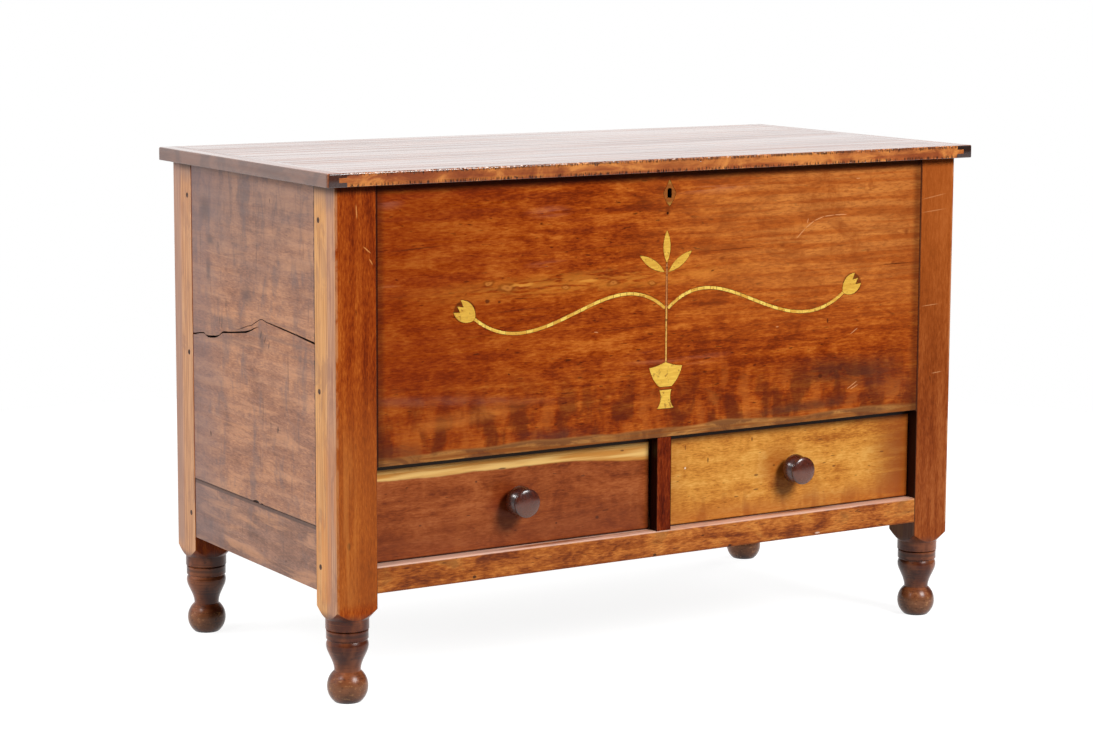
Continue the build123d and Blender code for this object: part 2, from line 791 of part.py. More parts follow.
# ---------------------------------------------------------------- hinges
def knuckle_spans(own):
    """The (x0, x1) spans, from the hinge's middle, of the odd or the even knuckles."""
    pitch = hinge_length / hinge_knuckles
    start = -hinge_length / 2
    return [
        (start + i * pitch, start + (i + 1) * pitch) for i in range(hinge_knuckles) if i % 2 == own
    ]


def barrel(x0, x1, radius):
    """A cylinder round the hinge line."""
    return Pos(x0, hinge_pin_y, lid_bottom) * Rot(0, 90, 0) * Cylinder(
        radius, x1 - x0, align=(Align.CENTER, Align.CENTER, Align.MIN)
    )


def hinge_leaf(centre, own, z0, z1):
    """One leaf with its knuckles; the other leaf's knuckles are cleared from its edge."""
    half = hinge_length / 2
    shape = block(centre - half, centre + half, leaf_front, hinge_pin_y, z0, z1)
    gap = hinge_knuckle_gap
    for x0, x1 in knuckle_spans(own):
        shape = shape + barrel(centre + x0, centre + x1, hinge_knuckle_radius)
    for x0, x1 in knuckle_spans(1 - own):
        shape = shape - barrel(
            centre + x0 - gap / 2, centre + x1 + gap / 2, hinge_knuckle_radius + gap
        )
    bore = barrel(centre - half - 1, centre + half + 1, hinge_pin_radius + hinge_pin_gap)
    return shape - bore


def hinge_pin(centre):
    """The pin, with a low rounded head at each end."""
    half = hinge_length / 2
    head = hinge_pin_head
    rod = barrel(centre - half, centre + half, hinge_pin_radius)
    for x0 in (centre - half - head, centre + half):
        rod = rod + barrel(x0, x0 + head, hinge_pin_radius + head)
    return rod


def hinge_screw_places(turn, z):
    """Where the three screws of each hinge go, in one row of leaves."""
    row = back - hinge_screws_from_back
    return [
        Pos(centre + step * hinge_screw_pitch, row - hinge_screw_stagger * (1 - 2 * abs(step)), z) * turn
        for centre in hinge_centres
        for step in (-1, 0, 1)
    ]


case_leaf_z = (lid_bottom - hinge_leaf_gap - hinge_leaf_thickness, lid_bottom - hinge_leaf_gap)
lid_leaf_z = (lid_bottom + hinge_leaf_gap, lid_bottom + hinge_leaf_gap + hinge_leaf_thickness)
case_screw_places = hinge_screw_places(Rot(0, 0, 0), case_leaf_z[1])
lid_screw_places = hinge_screw_places(Rot(180, 0, 0), lid_leaf_z[0])
leaf_beds, lid_beds = [], []
for centre in hinge_centres:
    ends = (centre - hinge_length / 2, centre + hinge_length / 2)
    leaf_beds.append(block(*ends, leaf_front, back + 1, case_leaf_z[0], board_top + 1))
    lid_beds.append(block(*ends, leaf_front, hinge_pin_y, lid_bottom - 1, lid_leaf_z[1]))
    room = 2 * hinge_pin_head
    lid_beds.append(barrel(ends[0] - room, ends[1] + room, hinge_knuckle_radius + hinge_pocket_gap))


# ---------------------------------------------------------------- lid
def lid_pieces():
    """Two edge-joined boards held flat by a breadboard end at each side."""
    x0, x1 = left - lid_overhang_left, right + lid_overhang_right
    y0, y1 = front - lid_overhang_front, back + lid_overhang_back
    blank = block(x0, x1, y0, y1, lid_bottom, lid_top)
    blank = fillet(blank.edges().filter_by(Axis.Z), lid_corner_round)
    blank = fillet(blank.faces().sort_by(Axis.Z)[-1].edges(), lid_upper_round)
    blank = fillet(blank.faces().sort_by(Axis.Z)[0].edges(), lid_lower_round)
    field = block(x0 + lid_end_width, x1 - lid_end_width, y0 - 1, y1 + 1, lid_bottom - 1, lid_top + 1)
    middle_z = (lid_bottom + lid_top) / 2
    tongue = block(
        x0 + lid_end_width - lid_tongue_length, x1 - lid_end_width + lid_tongue_length,
        y0 - 1, y1 + 1, middle_z - lid_tongue_thickness / 2, middle_z + lid_tongue_thickness / 2,
    )
    seam = front + lid_seam_from_front
    boards = blank & (field + tongue)
    ends = without(blank, field, tongue)
    front_cut = block(x0 - 1, x1 + 1, y0 - 1, seam, lid_bottom - 1, lid_top + 1)
    left_cut = block(x0 - 1, middle, y0 - 1, y1 + 1, lid_bottom - 1, lid_top + 1)
    return boards & front_cut, boards - front_cut, ends & left_cut, ends - left_cut


lid_front, lid_back, lid_end_left, lid_end_right = lid_pieces()
staple_bed = block(
    keyhole_x - staple_plate_length / 2, keyhole_x + staple_plate_length / 2,
    bolt_y - staple_plate_width / 2, bolt_y + staple_plate_width / 2,
    lid_bottom - 1, lid_bottom + staple_plate_thickness,
)
lid_screw_holes = screw_holes(lid_screw_places)
staple_screw_holes = screw_holes(staple_screw_places)
case_screw_holes = screw_holes(case_screw_places)
lock_screw_holes = screw_holes(lock_screw_places, lock_screw_length)


# ---------------------------------------------------------------- drawers
def tails(z0, z1, shoulder, tip):
    """The outline of a row of dovetails from z0 up to z1, between shoulder and tip."""
    pitch = (z1 - z0) / dovetail_count
    flare = abs(tip - shoulder) * dovetail_slope
    points = []
    for i in range(dovetail_count):
        centre = z0 + (i + 0.5) * pitch
        tip_half = (pitch - dovetail_pin) / 2
        points += [
            (shoulder, centre - tip_half + flare),
            (tip, centre - tip_half),
            (tip, centre + tip_half),
            (shoulder, centre + tip_half - flare),
        ]
    return points


def drawer_panel(x0, x1, y0, y1, z0, z1):
    """A drawer bottom, bevelled underneath along its front and both ends."""
    edge = z1 - drawer_panel_edge
    bevel = drawer_panel_bevel
    across = [(x0, z1), (x0, edge), (x0 + bevel, z0), (x1 - bevel, z0), (x1, edge), (x1, z1)]
    ends = extrude(Plane(origin=(0, y0, 0), x_dir=(1, 0, 0), z_dir=(0, -1, 0)) * make_face(
        Polyline(across, close=True)
    ), amount=y0 - y1)
    return ends & slab([(y0, z1), (y0, edge), (y0 + bevel, z0), (y1, z0), (y1, z1)], x0, x1)


def drawer_knob(x, y, z):
    """A turned knob: a shallow domed face, a groove, a swelling body and a neck with its tenon."""
    rim, face_radius = -knob_projection, knob_face_radius
    groove = rim + knob_rim_thickness
    start = groove + knob_groove_depth
    swell = start + knob_body_length / 2
    shoulder = start + knob_body_length
    neck, flare = knob_neck_radius, knob_neck_radius + knob_foot_flare
    dome = ThreePointArc(
        (0, rim - knob_dome), (face_radius * 0.55, rim - knob_dome * 0.7), (face_radius, rim)
    )
    inner = face_radius - knob_groove_depth
    ring = Polyline([(face_radius, rim), (face_radius, groove), (inner, start), (face_radius, start)])
    body = ThreePointArc((face_radius, start), (knob_body_radius, swell), (face_radius, shoulder))
    round_point = (neck + 0.74 * (face_radius - neck), shoulder + knob_shoulder_drop)
    back_shoulder = ThreePointArc((face_radius, shoulder), round_point, (neck, -knob_neck_length))
    foot = ThreePointArc((neck, -knob_neck_length), (neck + 0.3, -knob_neck_length / 2), (flare, 0))
    stub = Polyline(
        [
            (flare, 0),
            (knob_tenon_radius, 0),
            (knob_tenon_radius, drawer_front_thickness),
            (0, drawer_front_thickness),
            (0, rim - knob_dome),
        ]
    )
    rounds = [dome, ring, body, back_shoulder, foot, stub]
    outline = make_face([edge for part in rounds for edge in part.edges()])
    return turned(outline, Pos(x, y, z) * Rot(-90, 0, 0))


def drawer(opening_left, opening_right):
    """The six pieces of one drawer, closed."""
    x0, x1 = opening_left + drawer_side_gap, opening_right - drawer_side_gap
    y0, y1 = front + drawer_recess, inner_back - drawer_back_gap
    z0, z1 = rail_top + drawer_bottom_gap, front_board_bottom - drawer_top_gap
    inside = y0 + drawer_front_thickness
    side_top = z1 - drawer_side_below_front
    panel_low = z0 + drawer_panel_height
    panel_high = panel_low + drawer_panel_thickness
    back_top = side_top - drawer_back_below_side
    outline = [(inside, z0), (y1, z0), (y1, panel_high)]
    outline += tails(panel_high, back_top, y1 - drawer_back_thickness, y1)
    outline += [(y1, back_top), (y1, side_top), (inside, side_top)]
    outline += reversed(tails(z0, side_top, inside, y0 + dovetail_lap))
    thick = drawer_side_thickness
    side_left = slab(outline, x0, x0 + thick)
    side_right = slab(outline, x1 - thick, x1)
    groove = drawer_panel_groove
    panel = drawer_panel(
        x0 + thick - groove, x1 - thick + groove, inside - groove, y1, panel_low, panel_high
    )
    face_board = block(x0, x1, y0, inside, z0, z1)
    face_board = fillet(face_board.faces().sort_by(Axis.Y)[0].edges(), drawer_edge_round)
    back_board = block(x0, x1, y1 - drawer_back_thickness, y1, panel_high, back_top)
    knob_x, knob_z = (x0 + x1) / 2, (z0 + z1) / 2
    knob_hole = Pos(knob_x, (y0 + inside) / 2, knob_z) * Rot(90, 0, 0) * Cylinder(
        knob_tenon_radius + knob_tenon_gap, drawer_front_thickness + 2
    )
    return {
        "front": without(face_board, side_left, side_right, panel, knob_hole),
        "side_left": side_left - panel,
        "side_right": side_right - panel,
        "back": without(back_board, side_left, side_right),
        "bottom": panel,
        "knob": drawer_knob(knob_x, y0, knob_z),
    }


# ---------------------------------------------------------------- the pieces, each with its seats cut
back_blanks = [back_upper, back_lower]
boards_left = [side_upper, side_lower, *pegs_left]
boards_right = [mirrored_x(board) for board in boards_left]
cross_boards = [front_blank, bottom_rail]

floor_pieces = [floor_front, floor_back]
lower_arris = front_blank.edges().sort_by_distance((middle, face, front_board_bottom))[0]
front_board = without(
    fillet(lower_arris, front_board_edge_round), *floor_pieces, partition_slide, drawer_divider,
    lock_mortise, plate_bed, selvage_bed, keyhole(front - 1, inner_front), *lock_screw_holes, *pockets,
)
rail_front_edge = bottom_rail.edges().filter_by(Axis.X).sort_by_distance((middle, face, rail_top))[0]
rail = without(fillet(rail_front_edge, rail_edge_round), drawer_divider, runner_centre)
upper_back = without(back_upper, *floor_pieces, partition_slide, *leaf_beds, *case_screw_holes)
left_upper = without(side_upper, *floor_pieces, *pegs_left)
left_lower = without(side_lower, *pegs_left)

pieces = {
    "post_front_left": post(post_left_x, post_front_y, *boards_left, *cross_boards),
    "post_front_right": post(post_right_x, post_front_y, *boards_right, *cross_boards),
    "post_back_left": post(post_left_x, post_back_y, *boards_left, *back_blanks),
    "post_back_right": post(post_right_x, post_back_y, *boards_right, *back_blanks),
    "front_board": front_board,
    "bottom_rail": rail,
    "drawer_divider": drawer_divider,
    "side_board_upper_left": left_upper,
    "side_board_lower_left": left_lower,
    "side_board_upper_right": mirrored_x(left_upper),
    "side_board_lower_right": mirrored_x(left_lower),
    "back_board_upper": upper_back,
    "back_board_lower": back_lower - runner_centre,
    "side_pegs_left": Compound(children=pegs_left),
    "side_pegs_right": Compound(children=[mirrored_x(peg) for peg in pegs_left]),
    "bin_floor_front": floor_front,
    "bin_floor_back": floor_back,
    "bin_partition": partition,
    "drawer_runner_left": runner_left,
    "drawer_runner_right": runner_right,
    "drawer_runner_centre": runner_centre,
    "inlay_vine_left": Compound(children=vine_left_pieces),
    "inlay_vine_right": Compound(children=vine_right_pieces),
    "inlay_tulip_left": inlaid(tulip_left),
    "inlay_tulip_right": inlaid(tulip_right),
    "inlay_leaves": Compound(children=[inlaid(one) for one in leaf_faces]),
    "inlay_stem": inlaid(stem_face),
    "inlay_urn_bowl": inlaid(urn_bowl()),
    "inlay_urn_foot": inlaid(urn_foot()),
    "keyhole_escutcheon": inlaid(escutcheon()) - keyhole(front - 1, inner_front),
    "lock_plate": without(lock_plate(), *lock_screw_holes),
    "lock_case": lock_case,
    "lock_screws": Compound(children=screws(lock_screw_places, lock_screw_length)),
    "lock_bolt": lock_bolt(),
    "lock_staple": without(lock_staple(), *staple_screw_holes),
    "staple_screws": Compound(children=screws(staple_screw_places)),
    "lid_board_front": without(lid_front, staple_bed, *staple_screw_holes),
    "lid_board_back": without(lid_back, *lid_beds, *lid_screw_holes),
    "lid_end_left": lid_end_left,
    "lid_end_right": lid_end_right,
    "hinge_case_screws": Compound(children=screws(case_screw_places)),
    "hinge_lid_screws": Compound(children=screws(lid_screw_places)),
}
for side, centre in zip(("left", "right"), hinge_centres):
    pieces[f"hinge_{side}_case_leaf"] = without(hinge_leaf(centre, 0, *case_leaf_z), *case_screw_holes)
    pieces[f"hinge_{side}_lid_leaf"] = without(hinge_leaf(centre, 1, *lid_leaf_z), *lid_screw_holes)
    pieces[f"hinge_{side}_pin"] = hinge_pin(centre)
for side, (x0, x1) in {
    "left": (post_in_left, divider_left),
    "right": (divider_right, post_in_right),
}.items():
    for name, piece in drawer(x0, x1).items():
        pieces[f"drawer_{side}_{name}"] = piece

os.makedirs("parts", exist_ok=True)
for name, piece in pieces.items():
    export_step(piece, f"parts/{name}.step")
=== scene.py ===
# %% [markdown]
# # A cherry sugar chest
#
# The chest is already built as solid parts, one for every board, post, knob and screw.
# In this notebook we load those parts, set up a small studio, and give each piece the finish
# that two hundred years of use have left on it. Everything is in metres.

# %% Load the chest
import math
import random

import bpy
from mathutils import Matrix, Vector


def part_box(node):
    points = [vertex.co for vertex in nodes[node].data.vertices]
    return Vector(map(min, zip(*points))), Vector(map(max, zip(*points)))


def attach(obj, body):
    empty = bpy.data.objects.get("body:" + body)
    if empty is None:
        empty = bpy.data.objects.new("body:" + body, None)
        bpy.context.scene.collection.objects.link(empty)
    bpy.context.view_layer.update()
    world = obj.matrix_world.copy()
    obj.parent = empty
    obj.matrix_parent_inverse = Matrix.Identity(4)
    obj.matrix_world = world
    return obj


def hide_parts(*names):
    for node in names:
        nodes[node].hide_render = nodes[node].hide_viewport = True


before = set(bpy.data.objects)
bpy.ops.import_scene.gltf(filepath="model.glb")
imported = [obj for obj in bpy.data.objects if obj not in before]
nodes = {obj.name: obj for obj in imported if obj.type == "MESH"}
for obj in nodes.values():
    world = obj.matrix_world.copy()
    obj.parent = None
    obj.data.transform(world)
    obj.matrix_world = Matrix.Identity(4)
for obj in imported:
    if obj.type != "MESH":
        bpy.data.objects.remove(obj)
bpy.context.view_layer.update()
bpy.ops.object.select_all(action="DESELECT")

# %% [markdown]
# ## The camera
#
# A chest is usually shown from one front corner, a little above the lid, with a long lens, so
# that its sides stay nearly parallel. Blender's camera looks down its own -Z axis, so instead
# of three angles in a row we work out its right, up and backward directions and put them
# in the columns of its matrix. The small vertical shift keeps the posts upright in the picture.

# %% Set up the camera
scene = bpy.context.scene
camera_place = Vector((-2.2635, -3.6194, 1.0578))
turned, tilted, rolled = (math.radians(angle) for angle in (31.523, 7.763, 0.22))
level_ahead = Vector((math.sin(turned), math.cos(turned), 0.0))
level_right = Vector((math.cos(turned), -math.sin(turned), 0.0))
ahead = level_ahead * math.cos(tilted) + Vector((0.0, 0.0, -math.sin(tilted)))
level_up = level_right.cross(ahead)
camera_right = level_right * math.cos(rolled) + level_up * math.sin(rolled)
camera_up = level_up * math.cos(rolled) - level_right * math.sin(rolled)

camera_data = bpy.data.cameras.new("studio_camera")
camera_data.sensor_width = 36.0
camera_data.lens = 92.03
camera_data.shift_y = -0.0531
camera_data.clip_end = 60.0
camera = bpy.data.objects.new("studio_camera", camera_data)
scene.collection.objects.link(camera)
camera_axes = Matrix((camera_right, camera_up, -ahead)).transposed().to_4x4()
camera.matrix_world = Matrix.Translation(camera_place) @ camera_axes
scene.camera = camera
scene.view_settings.view_transform = "Standard"
print("camera is", round(camera_place.length, 2), "m from the chest")

# %% [markdown]
# ## Nodes, a step at a time
#
# Worlds and materials are trees of nodes: small machines whose outputs are linked to the
# inputs of others. Each node takes several lines of Python, so three helpers do it: `feed`
# gives one input its value or its link, `step` adds a node and feeds it, and `reckon` is the
# step for sums.


# %% Helpers for nodes
def feed(socket, value):
    """Gives an input its value: the output of another node, which is linked, or a number or colour."""
    if hasattr(value, "links"):
        socket.id_data.links.new(value, socket)
    else:
        socket.default_value = value


def step(tree, kind, values=(), **settings):
    """Adds one node; values feed its inputs in their order or, given as a dictionary, by name."""
    made = tree.nodes.new(kind)
    for setting, value in settings.items():
        setattr(made, setting, value)
    for which, value in values.items() if isinstance(values, dict) else enumerate(values):
        feed(made.inputs[which], value)
    return made


def reckon(tree, operation, *values):
    """The result of a sum."""
    return step(tree, "ShaderNodeMath", values, operation=operation).outputs[0]


print("three helpers for nodes are ready")

# %% [markdown]
# ## The studio's walls
#
# The world stands for the studio's walls: the camera sees plain white, polished faces see a
# white wall behind and a dim room in front, and everything else gets a little even light.
# Light Path tells these rays apart. The dim room is what keeps the front's colours deep,
# while the lid, seen almost edge on, turns nearly white.

# %% The studio's walls
world = bpy.data.worlds.new("studio")
scene.world = world
world.use_nodes = True
walls = world.node_tree
ray = step(walls, "ShaderNodeLightPath").outputs
direction = step(walls, "ShaderNodeTexCoord").outputs["Generated"]
white_wall = Vector((-0.35, 0.93, 0.12)).normalized()
toward_wall = step(walls, "ShaderNodeVectorMath", (direction, white_wall), operation="DOT_PRODUCT")
facing = toward_wall.outputs["Value"]
wall_sheen = step(walls, "ShaderNodeMapRange", (facing, -0.1, 0.42, 0.1, 1.0)).outputs[0]
wall_light = step(walls, "ShaderNodeMapRange", (facing, -0.3, 0.5, 0.06, 0.32)).outputs[0]
sheen = reckon(walls, "MULTIPLY", ray["Is Glossy Ray"], wall_sheen)
seen = reckon(walls, "MAXIMUM", ray["Is Camera Ray"], ray["Is Transmission Ray"])
bright = reckon(walls, "MAXIMUM", seen, sheen)
background = walls.nodes["Background"]
feed(background.inputs["Color"], (1.0, 1.0, 1.0, 1.0))
feed(background.inputs["Strength"], reckon(walls, "MAXIMUM", bright, wall_light))
print("world nodes:", len(walls.nodes))

# %% [markdown]
# ## Four lamps
#
# A soft lamp stands in front, to the right and a little above the chest, and a wider one to
# the left and behind lights its end, as another does at the right. A small weak one puts
# glints on the knobs and the turned feet. A lamp is placed by how far it is turned round the
# chest and raised above it. Its power is worked out from the brightness that we want at the
# chest, because light thins out with the square of the distance. The two wide lamps at the
# ends aren't mirrored in the polish: seen from the far side they would burn the lid white.


# %% The four lamps
def soft_lamp(name, turn, rise, distance, width, level, mirrored=True):
    """A round lamp; level 1 lights a surface that faces it just as bright as its paint."""
    lamp_data = bpy.data.lights.new(name, "AREA")
    lamp_data.shape = "DISK"
    lamp_data.size = width
    lamp_data.energy = level * math.pi**2 * distance**2
    lamp = bpy.data.objects.new(name, lamp_data)
    scene.collection.objects.link(lamp)
    turn, rise = math.radians(turn), math.radians(rise)
    way = Vector((math.sin(turn) * math.cos(rise), -math.cos(turn) * math.cos(rise), math.sin(rise)))
    chest_middle = Vector((0, 0, 0.4))
    lamp.location = chest_middle + way * distance
    lamp.rotation_euler = way.to_track_quat("Z", "Y").to_euler()
    lamp.visible_glossy = mirrored
    print(name, "gives", round(lamp_data.energy), "W")


soft_lamp("front_lamp", turn=18, rise=34, distance=6.0, width=2.4, level=1.02)
soft_lamp("end_lamp", turn=-108, rise=18, distance=5.0, width=2.6, level=0.61, mirrored=False)
soft_lamp("far_end_lamp", turn=104, rise=24, distance=5.0, width=2.6, level=0.4, mirrored=False)
soft_lamp("glint_lamp", turn=-79, rise=36, distance=4.0, width=0.9, level=0.2)

# %% [markdown]
# ## A bench for finishes
#
# Old wood is one colour only from far away. Close to, it is bands of growth, fine pores, dark
# flecks, stains and rubbed patches, one over the other. Each finish below is built up in that
# order with the same few steps, so we keep the steps in a small class that holds the nodes of
# one material. All patterns read Object coordinates, which are the chest's own metres here,
# so a stain can be put at a real place and the grain runs through the wood.
#
# Every layer is a colour, a strength and one or more masks. A mask such as `("z", 0.47, 0.37)`
# begins at a height of 0.47 m and is full at 0.37 m, with a soft change between.


# %% Colours and the bench
def paint(red, green, blue):
    """A colour as on a paint card, 0 to 255, turned into the linear light that Blender reckons in."""
    light = [((c / 255 + 0.055) / 1.055) ** 2.4 if c > 10 else c / 255 / 12.92 for c in (red, green, blue)]
    return (*light, 1.0)


class Bench:
    """The nodes of one material, from the place on the chest to the shader."""

    def __init__(self, name, roughness, metallic=0.0, specular=0.5, coat_blur=0.12):
        self.material = bpy.data.materials.new(name)
        self.material.use_nodes = True
        self.tree = self.material.node_tree
        self.tree.nodes.clear()
        self.shader = self.node("ShaderNodeBsdfPrincipled", {
            "Roughness": roughness, "Metallic": metallic,
            "Specular IOR Level": specular, "Coat Roughness": coat_blur})
        self.node("ShaderNodeOutputMaterial", {"Surface": self.shader.outputs[0]})
        self.place = self.node("ShaderNodeTexCoord").outputs["Object"]
        self.x, self.y, self.z = self.node("ShaderNodeSeparateXYZ", (self.place,)).outputs
        self.colour = None

    def node(self, kind, values=(), **settings):
        """One node; a value given as a name, such as z or clouds, is the bench's own output of that name."""
        named = values if isinstance(values, dict) else dict(enumerate(values))
        known = {
            which: getattr(self, value) if isinstance(value, str) else value
            for which, value in named.items()
        }
        return step(self.tree, kind, known, **settings)

    def math(self, operation, *values):
        return self.node("ShaderNodeMath", values, operation=operation).outputs[0]

    def slide(self, value, low, high, to_low=0.0, to_high=1.0):
        """A soft change from to_low to to_high while value goes from low to high."""
        values = (value, low, high, to_low, to_high)
        return self.node("ShaderNodeMapRange", values, interpolation_type="SMOOTHSTEP").outputs[0]

    def distance(self, value, middle):
        """How far a value is from a middle, to either side."""
        return self.math("ABSOLUTE", self.math("SUBTRACT", value, middle))

    def shifted(self, value, pattern, reach):
        """A value with an uneven pattern added, reach times as strong."""
        return self.math("MULTIPLY_ADD", pattern, reach, value)

    def where(self, *masks):
        """1 where every mask is 1; a mask is an output, or a value with its start and its full end."""
        product, *others = (self.slide(*mask) if isinstance(mask, tuple) else mask for mask in masks)
        for mask in others:
            product = self.math("MULTIPLY", product, mask)
        return product

    def blend(self, amount, under, over):
        """The colour under, turned into the colour over where amount is 1."""
        under, over = (paint(*colour) if isinstance(colour, tuple) else colour for colour in (under, over))
        return self.node("ShaderNodeMix", {0: amount, 6: under, 7: over}, data_type="RGBA").outputs[2]

    def two_tone(self, dark, light, pattern="streaks", low=0.4, high=0.6):
        """A colour that goes from dark to light with a pattern."""
        return self.blend(self.slide(pattern, low, high), dark, light)

    def stain(self, colour, strength, *masks):
        """Lays a colour over what is there, where all masks are 1."""
        mask = self.where(*masks)
        amount = mask if strength == 1.0 else self.math("MULTIPLY", mask, strength)
        self.colour = self.blend(amount, self.colour, colour)

    def done(self, *pieces):
        """Joins the colour to the shader and puts the material on pieces, given themselves or by name."""
        feed(self.shader.inputs["Base Color"], self.colour)
        for piece in pieces:
            piece = nodes[piece] if isinstance(piece, str) else piece
            if not piece.material_slots:
                piece.data.materials.append(self.material)
            for slot in piece.material_slots:
                slot.material = self.material


print("one colour of cherry in linear light:", [round(c, 3) for c in paint(168, 82, 32)])

# %% [markdown]
# ## Patterns and marks
#
# Two more sets of tools go on the bench. A pattern is a noise, stretched along the grain, that
# colours or lifts the surface. A mark is a soft ellipse at one place on a face: nearly round
# it is a knot or a speck, and long and thin it is a crack or a scratch. An ellipse drawn on
# coordinates that a noise pushes to and fro gets an uneven edge.


# %% Patterns and marks for the bench
class Finish(Bench):
    """A bench with patterns, and with marks at real places."""

    def noise(self, scale, detail=2.0, rough=0.5, swirl=0.0, start=(0, 0, 0), turn=(0, 0, 0)):
        """Uneven patches from 0 to 1; scale has one number for each direction, small along the grain."""
        where = self.node("ShaderNodeMapping", ("place", start, turn, scale)).outputs[0]
        values = {"Vector": where, "Scale": 1.0, "Detail": detail, "Roughness": rough, "Distortion": swirl}
        return self.node("ShaderNodeTexNoise", values).outputs[0]

    def unsteady(self, reach, scale):
        """The place, pushed up to reach to and fro, so that a mark drawn there has an uneven edge."""
        shake = self.node("ShaderNodeTexNoise", {"Vector": "place", "Scale": scale}).outputs["Color"]
        values = (shake, (2 * reach,) * 3, (-reach,) * 3)
        push = self.node("ShaderNodeVectorMath", values, operation="MULTIPLY_ADD").outputs[0]
        return self.node("ShaderNodeVectorMath", ("place", push), operation="ADD").outputs[0]

    def bump(self, height, strength, distance):
        """Lifts the surface with a pattern, on top of what an earlier bump did."""
        normal = self.shader.inputs["Normal"]
        values = {"Strength": strength, "Distance": distance, "Height": height}
        if normal.is_linked:
            values["Normal"] = normal.links[0].from_socket
        feed(normal, self.node("ShaderNodeBump", values).outputs[0])

    def mark(self, face, across, up, wide, high, lean=0.0, soft=0.5, wander=None):
        """1 inside a leaning ellipse on a face, falling softly to 0 at its edge."""
        axis, depth = face
        deep = 0.1
        centre = (depth, across, up) if axis == "X" else (across, depth, up)
        size = (deep, wide, high) if axis == "X" else (wide, deep, high)
        turn = tuple(math.radians(lean) if way == axis else 0.0 for way in "XYZ")
        shape = self.node("ShaderNodeMapping", (wander or "place", centre, turn, size), vector_type="TEXTURE")
        length = self.node("ShaderNodeVectorMath", (shape.outputs[0],), operation="LENGTH").outputs["Value"]
        return self.slide(length, 1.0, soft)

    def specks(self, face, places, colour, strength, *masks, **look):
        """Marks of one colour: each place in metres, its half width and half height in millimetres."""
        for across, up, wide, high, *lean in places:
            speck = self.mark(face, across, up, wide / 1000, high / 1000, *lean, **look)
            self.stain(colour, strength, speck, *masks)

    def scratches(self, face, places, thickness, colour, strength, **look):
        """Thin marks of one colour: each with its place, its half length and its lean in degrees."""
        for across, up, length, lean in places:
            scratch = self.mark(face, across, up, length, thickness, lean, **look)
            self.stain(colour, strength, scratch)


def face_of(node, axis):
    """The face of a solid that looks to the front, for Y, or to the left, for X: its axis and its place."""
    return axis, round(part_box(node)[0]["XYZ".index(axis)], 5)


post_front = face_of("post_front_left", "Y")
board_front = face_of("front_board", "Y")
drawer_front = face_of("drawer_left_front", "Y")
left_end = face_of("side_board_upper_left", "X")
set_back = 1000 * (drawer_front[1] - board_front[1])
print("the drawers' faces lie", round(set_back, 1), "mm behind the front board's")

# %% [markdown]
# ## Cherry
#
# Cherry has soft bands of growth, a little paler and darker, that draw long arches along a
# board; fine pores; and short dark flecks of gum. Stretched noise gives all of these: the
# band pattern is the sine of a slow noise, like the lines on a map, and the pores are the same
# noise squeezed across the grain. The noises meet in one number, which a ramp turns into
# colour. Each board starts at another place in the pattern, so no two look alike.


# %% A maker of cherry
def stretch(grain, along, across):
    """Scale for one grain direction: small along it and large across it."""
    return tuple(along if axis == grain else across for axis in "XYZ")


def tone_ramp(wood, tone, tones):
    """Four tones, dark to light, spread over the middle of the number tone."""
    ramp = wood.node("ShaderNodeValToRGB", (tone,))
    ramp.color_ramp.interpolation = "B_SPLINE"
    stops = ramp.color_ramp.elements
    stops[0].position, stops[1].position = 0.26, 0.74
    stops[0].color, stops[1].color = paint(*tones[0]), paint(*tones[-1])
    for place, tone_colour in zip((0.42, 0.58), tones[1:-1]):
        stops.new(place).color = paint(*tone_colour)
    return ramp.outputs[0]


def cherry(
    name, grain, tones, start, bands=13.0, figure=1.0, mottle=1.0, ripple=0.2, flecks=0.5,
    roughness=0.36, specular=0.2, run=4.5, coat_blur=0.12,
):
    """Cherry with its grain along one axis and its tones from dark to light; a small run makes long streaks."""
    wood = Finish(name, roughness, specular=specular, coat_blur=coat_blur)

    def pattern(along, across, shift, detail, rough, swirl=0.0):
        return wood.noise(stretch(grain, along, across), detail, rough, swirl, Vector(start) * shift)

    slow = pattern(1.1, 9.0, 1, 2.0, 0.5, 0.3)
    rings = wood.math("SINE", wood.math("MULTIPLY", slow, bands * 2 * math.pi))
    drift = pattern(2.4, 17.0, 6, 3.0, 0.55, 0.4)
    wood.streaks = pattern(run, 110.0, 3, 3.0, 0.55, 0.2)
    wood.pores = pattern(95.0, 460.0, 7, 3.0, 0.65)
    wood.clouds = pattern(13.0, 27.0, 2, 5.0, 0.66, 0.8)
    wood.curl = pattern(44.0, 10.0, 4, 2.0, 0.5, 0.4)
    tone = wood.math("MULTIPLY_ADD", rings, 0.045 * figure, 0.5)
    for part, strength in (
        (drift, 0.45 * figure), ("streaks", 0.42 * figure), ("clouds", 0.66 * mottle),
        ("curl", ripple), ("pores", 0.7),
    ):
        tone = wood.math("ADD", tone, wood.math("MULTIPLY_ADD", part, strength, -strength / 2))
    wood.colour = tone_ramp(wood, tone, tones)
    gum_colour = [light * 0.3 for light in paint(*tones[0])[:3]] + [1.0]
    wood.stain(gum_colour, flecks, (pattern(60.0, 300.0, 5, 1.0, 0.5), 0.7, 0.77))
    gloss = wood.slide("streaks", 0.35, 0.65, roughness + 0.06, roughness - 0.06)
    feed(wood.shader.inputs["Roughness"], gloss)
    wood.bump("pores", 0.12, 0.0004)
    wood.bump("clouds", 0.06, 0.002)
    return wood


warm_tones = ((104, 32, 2), (146, 54, 6), (178, 82, 18), (206, 116, 42))
print("cherry runs from", warm_tones[0], "to", warm_tones[-1], "on the paint card")

# %% [markdown]
# ## The front board
#
# One wide board makes the front. It is deep red-brown at the left and more golden to the
# right, with a band of pale, swirling grain at the height of the vine. We start with plain
# cherry and lay these broad changes over it as large soft masks.

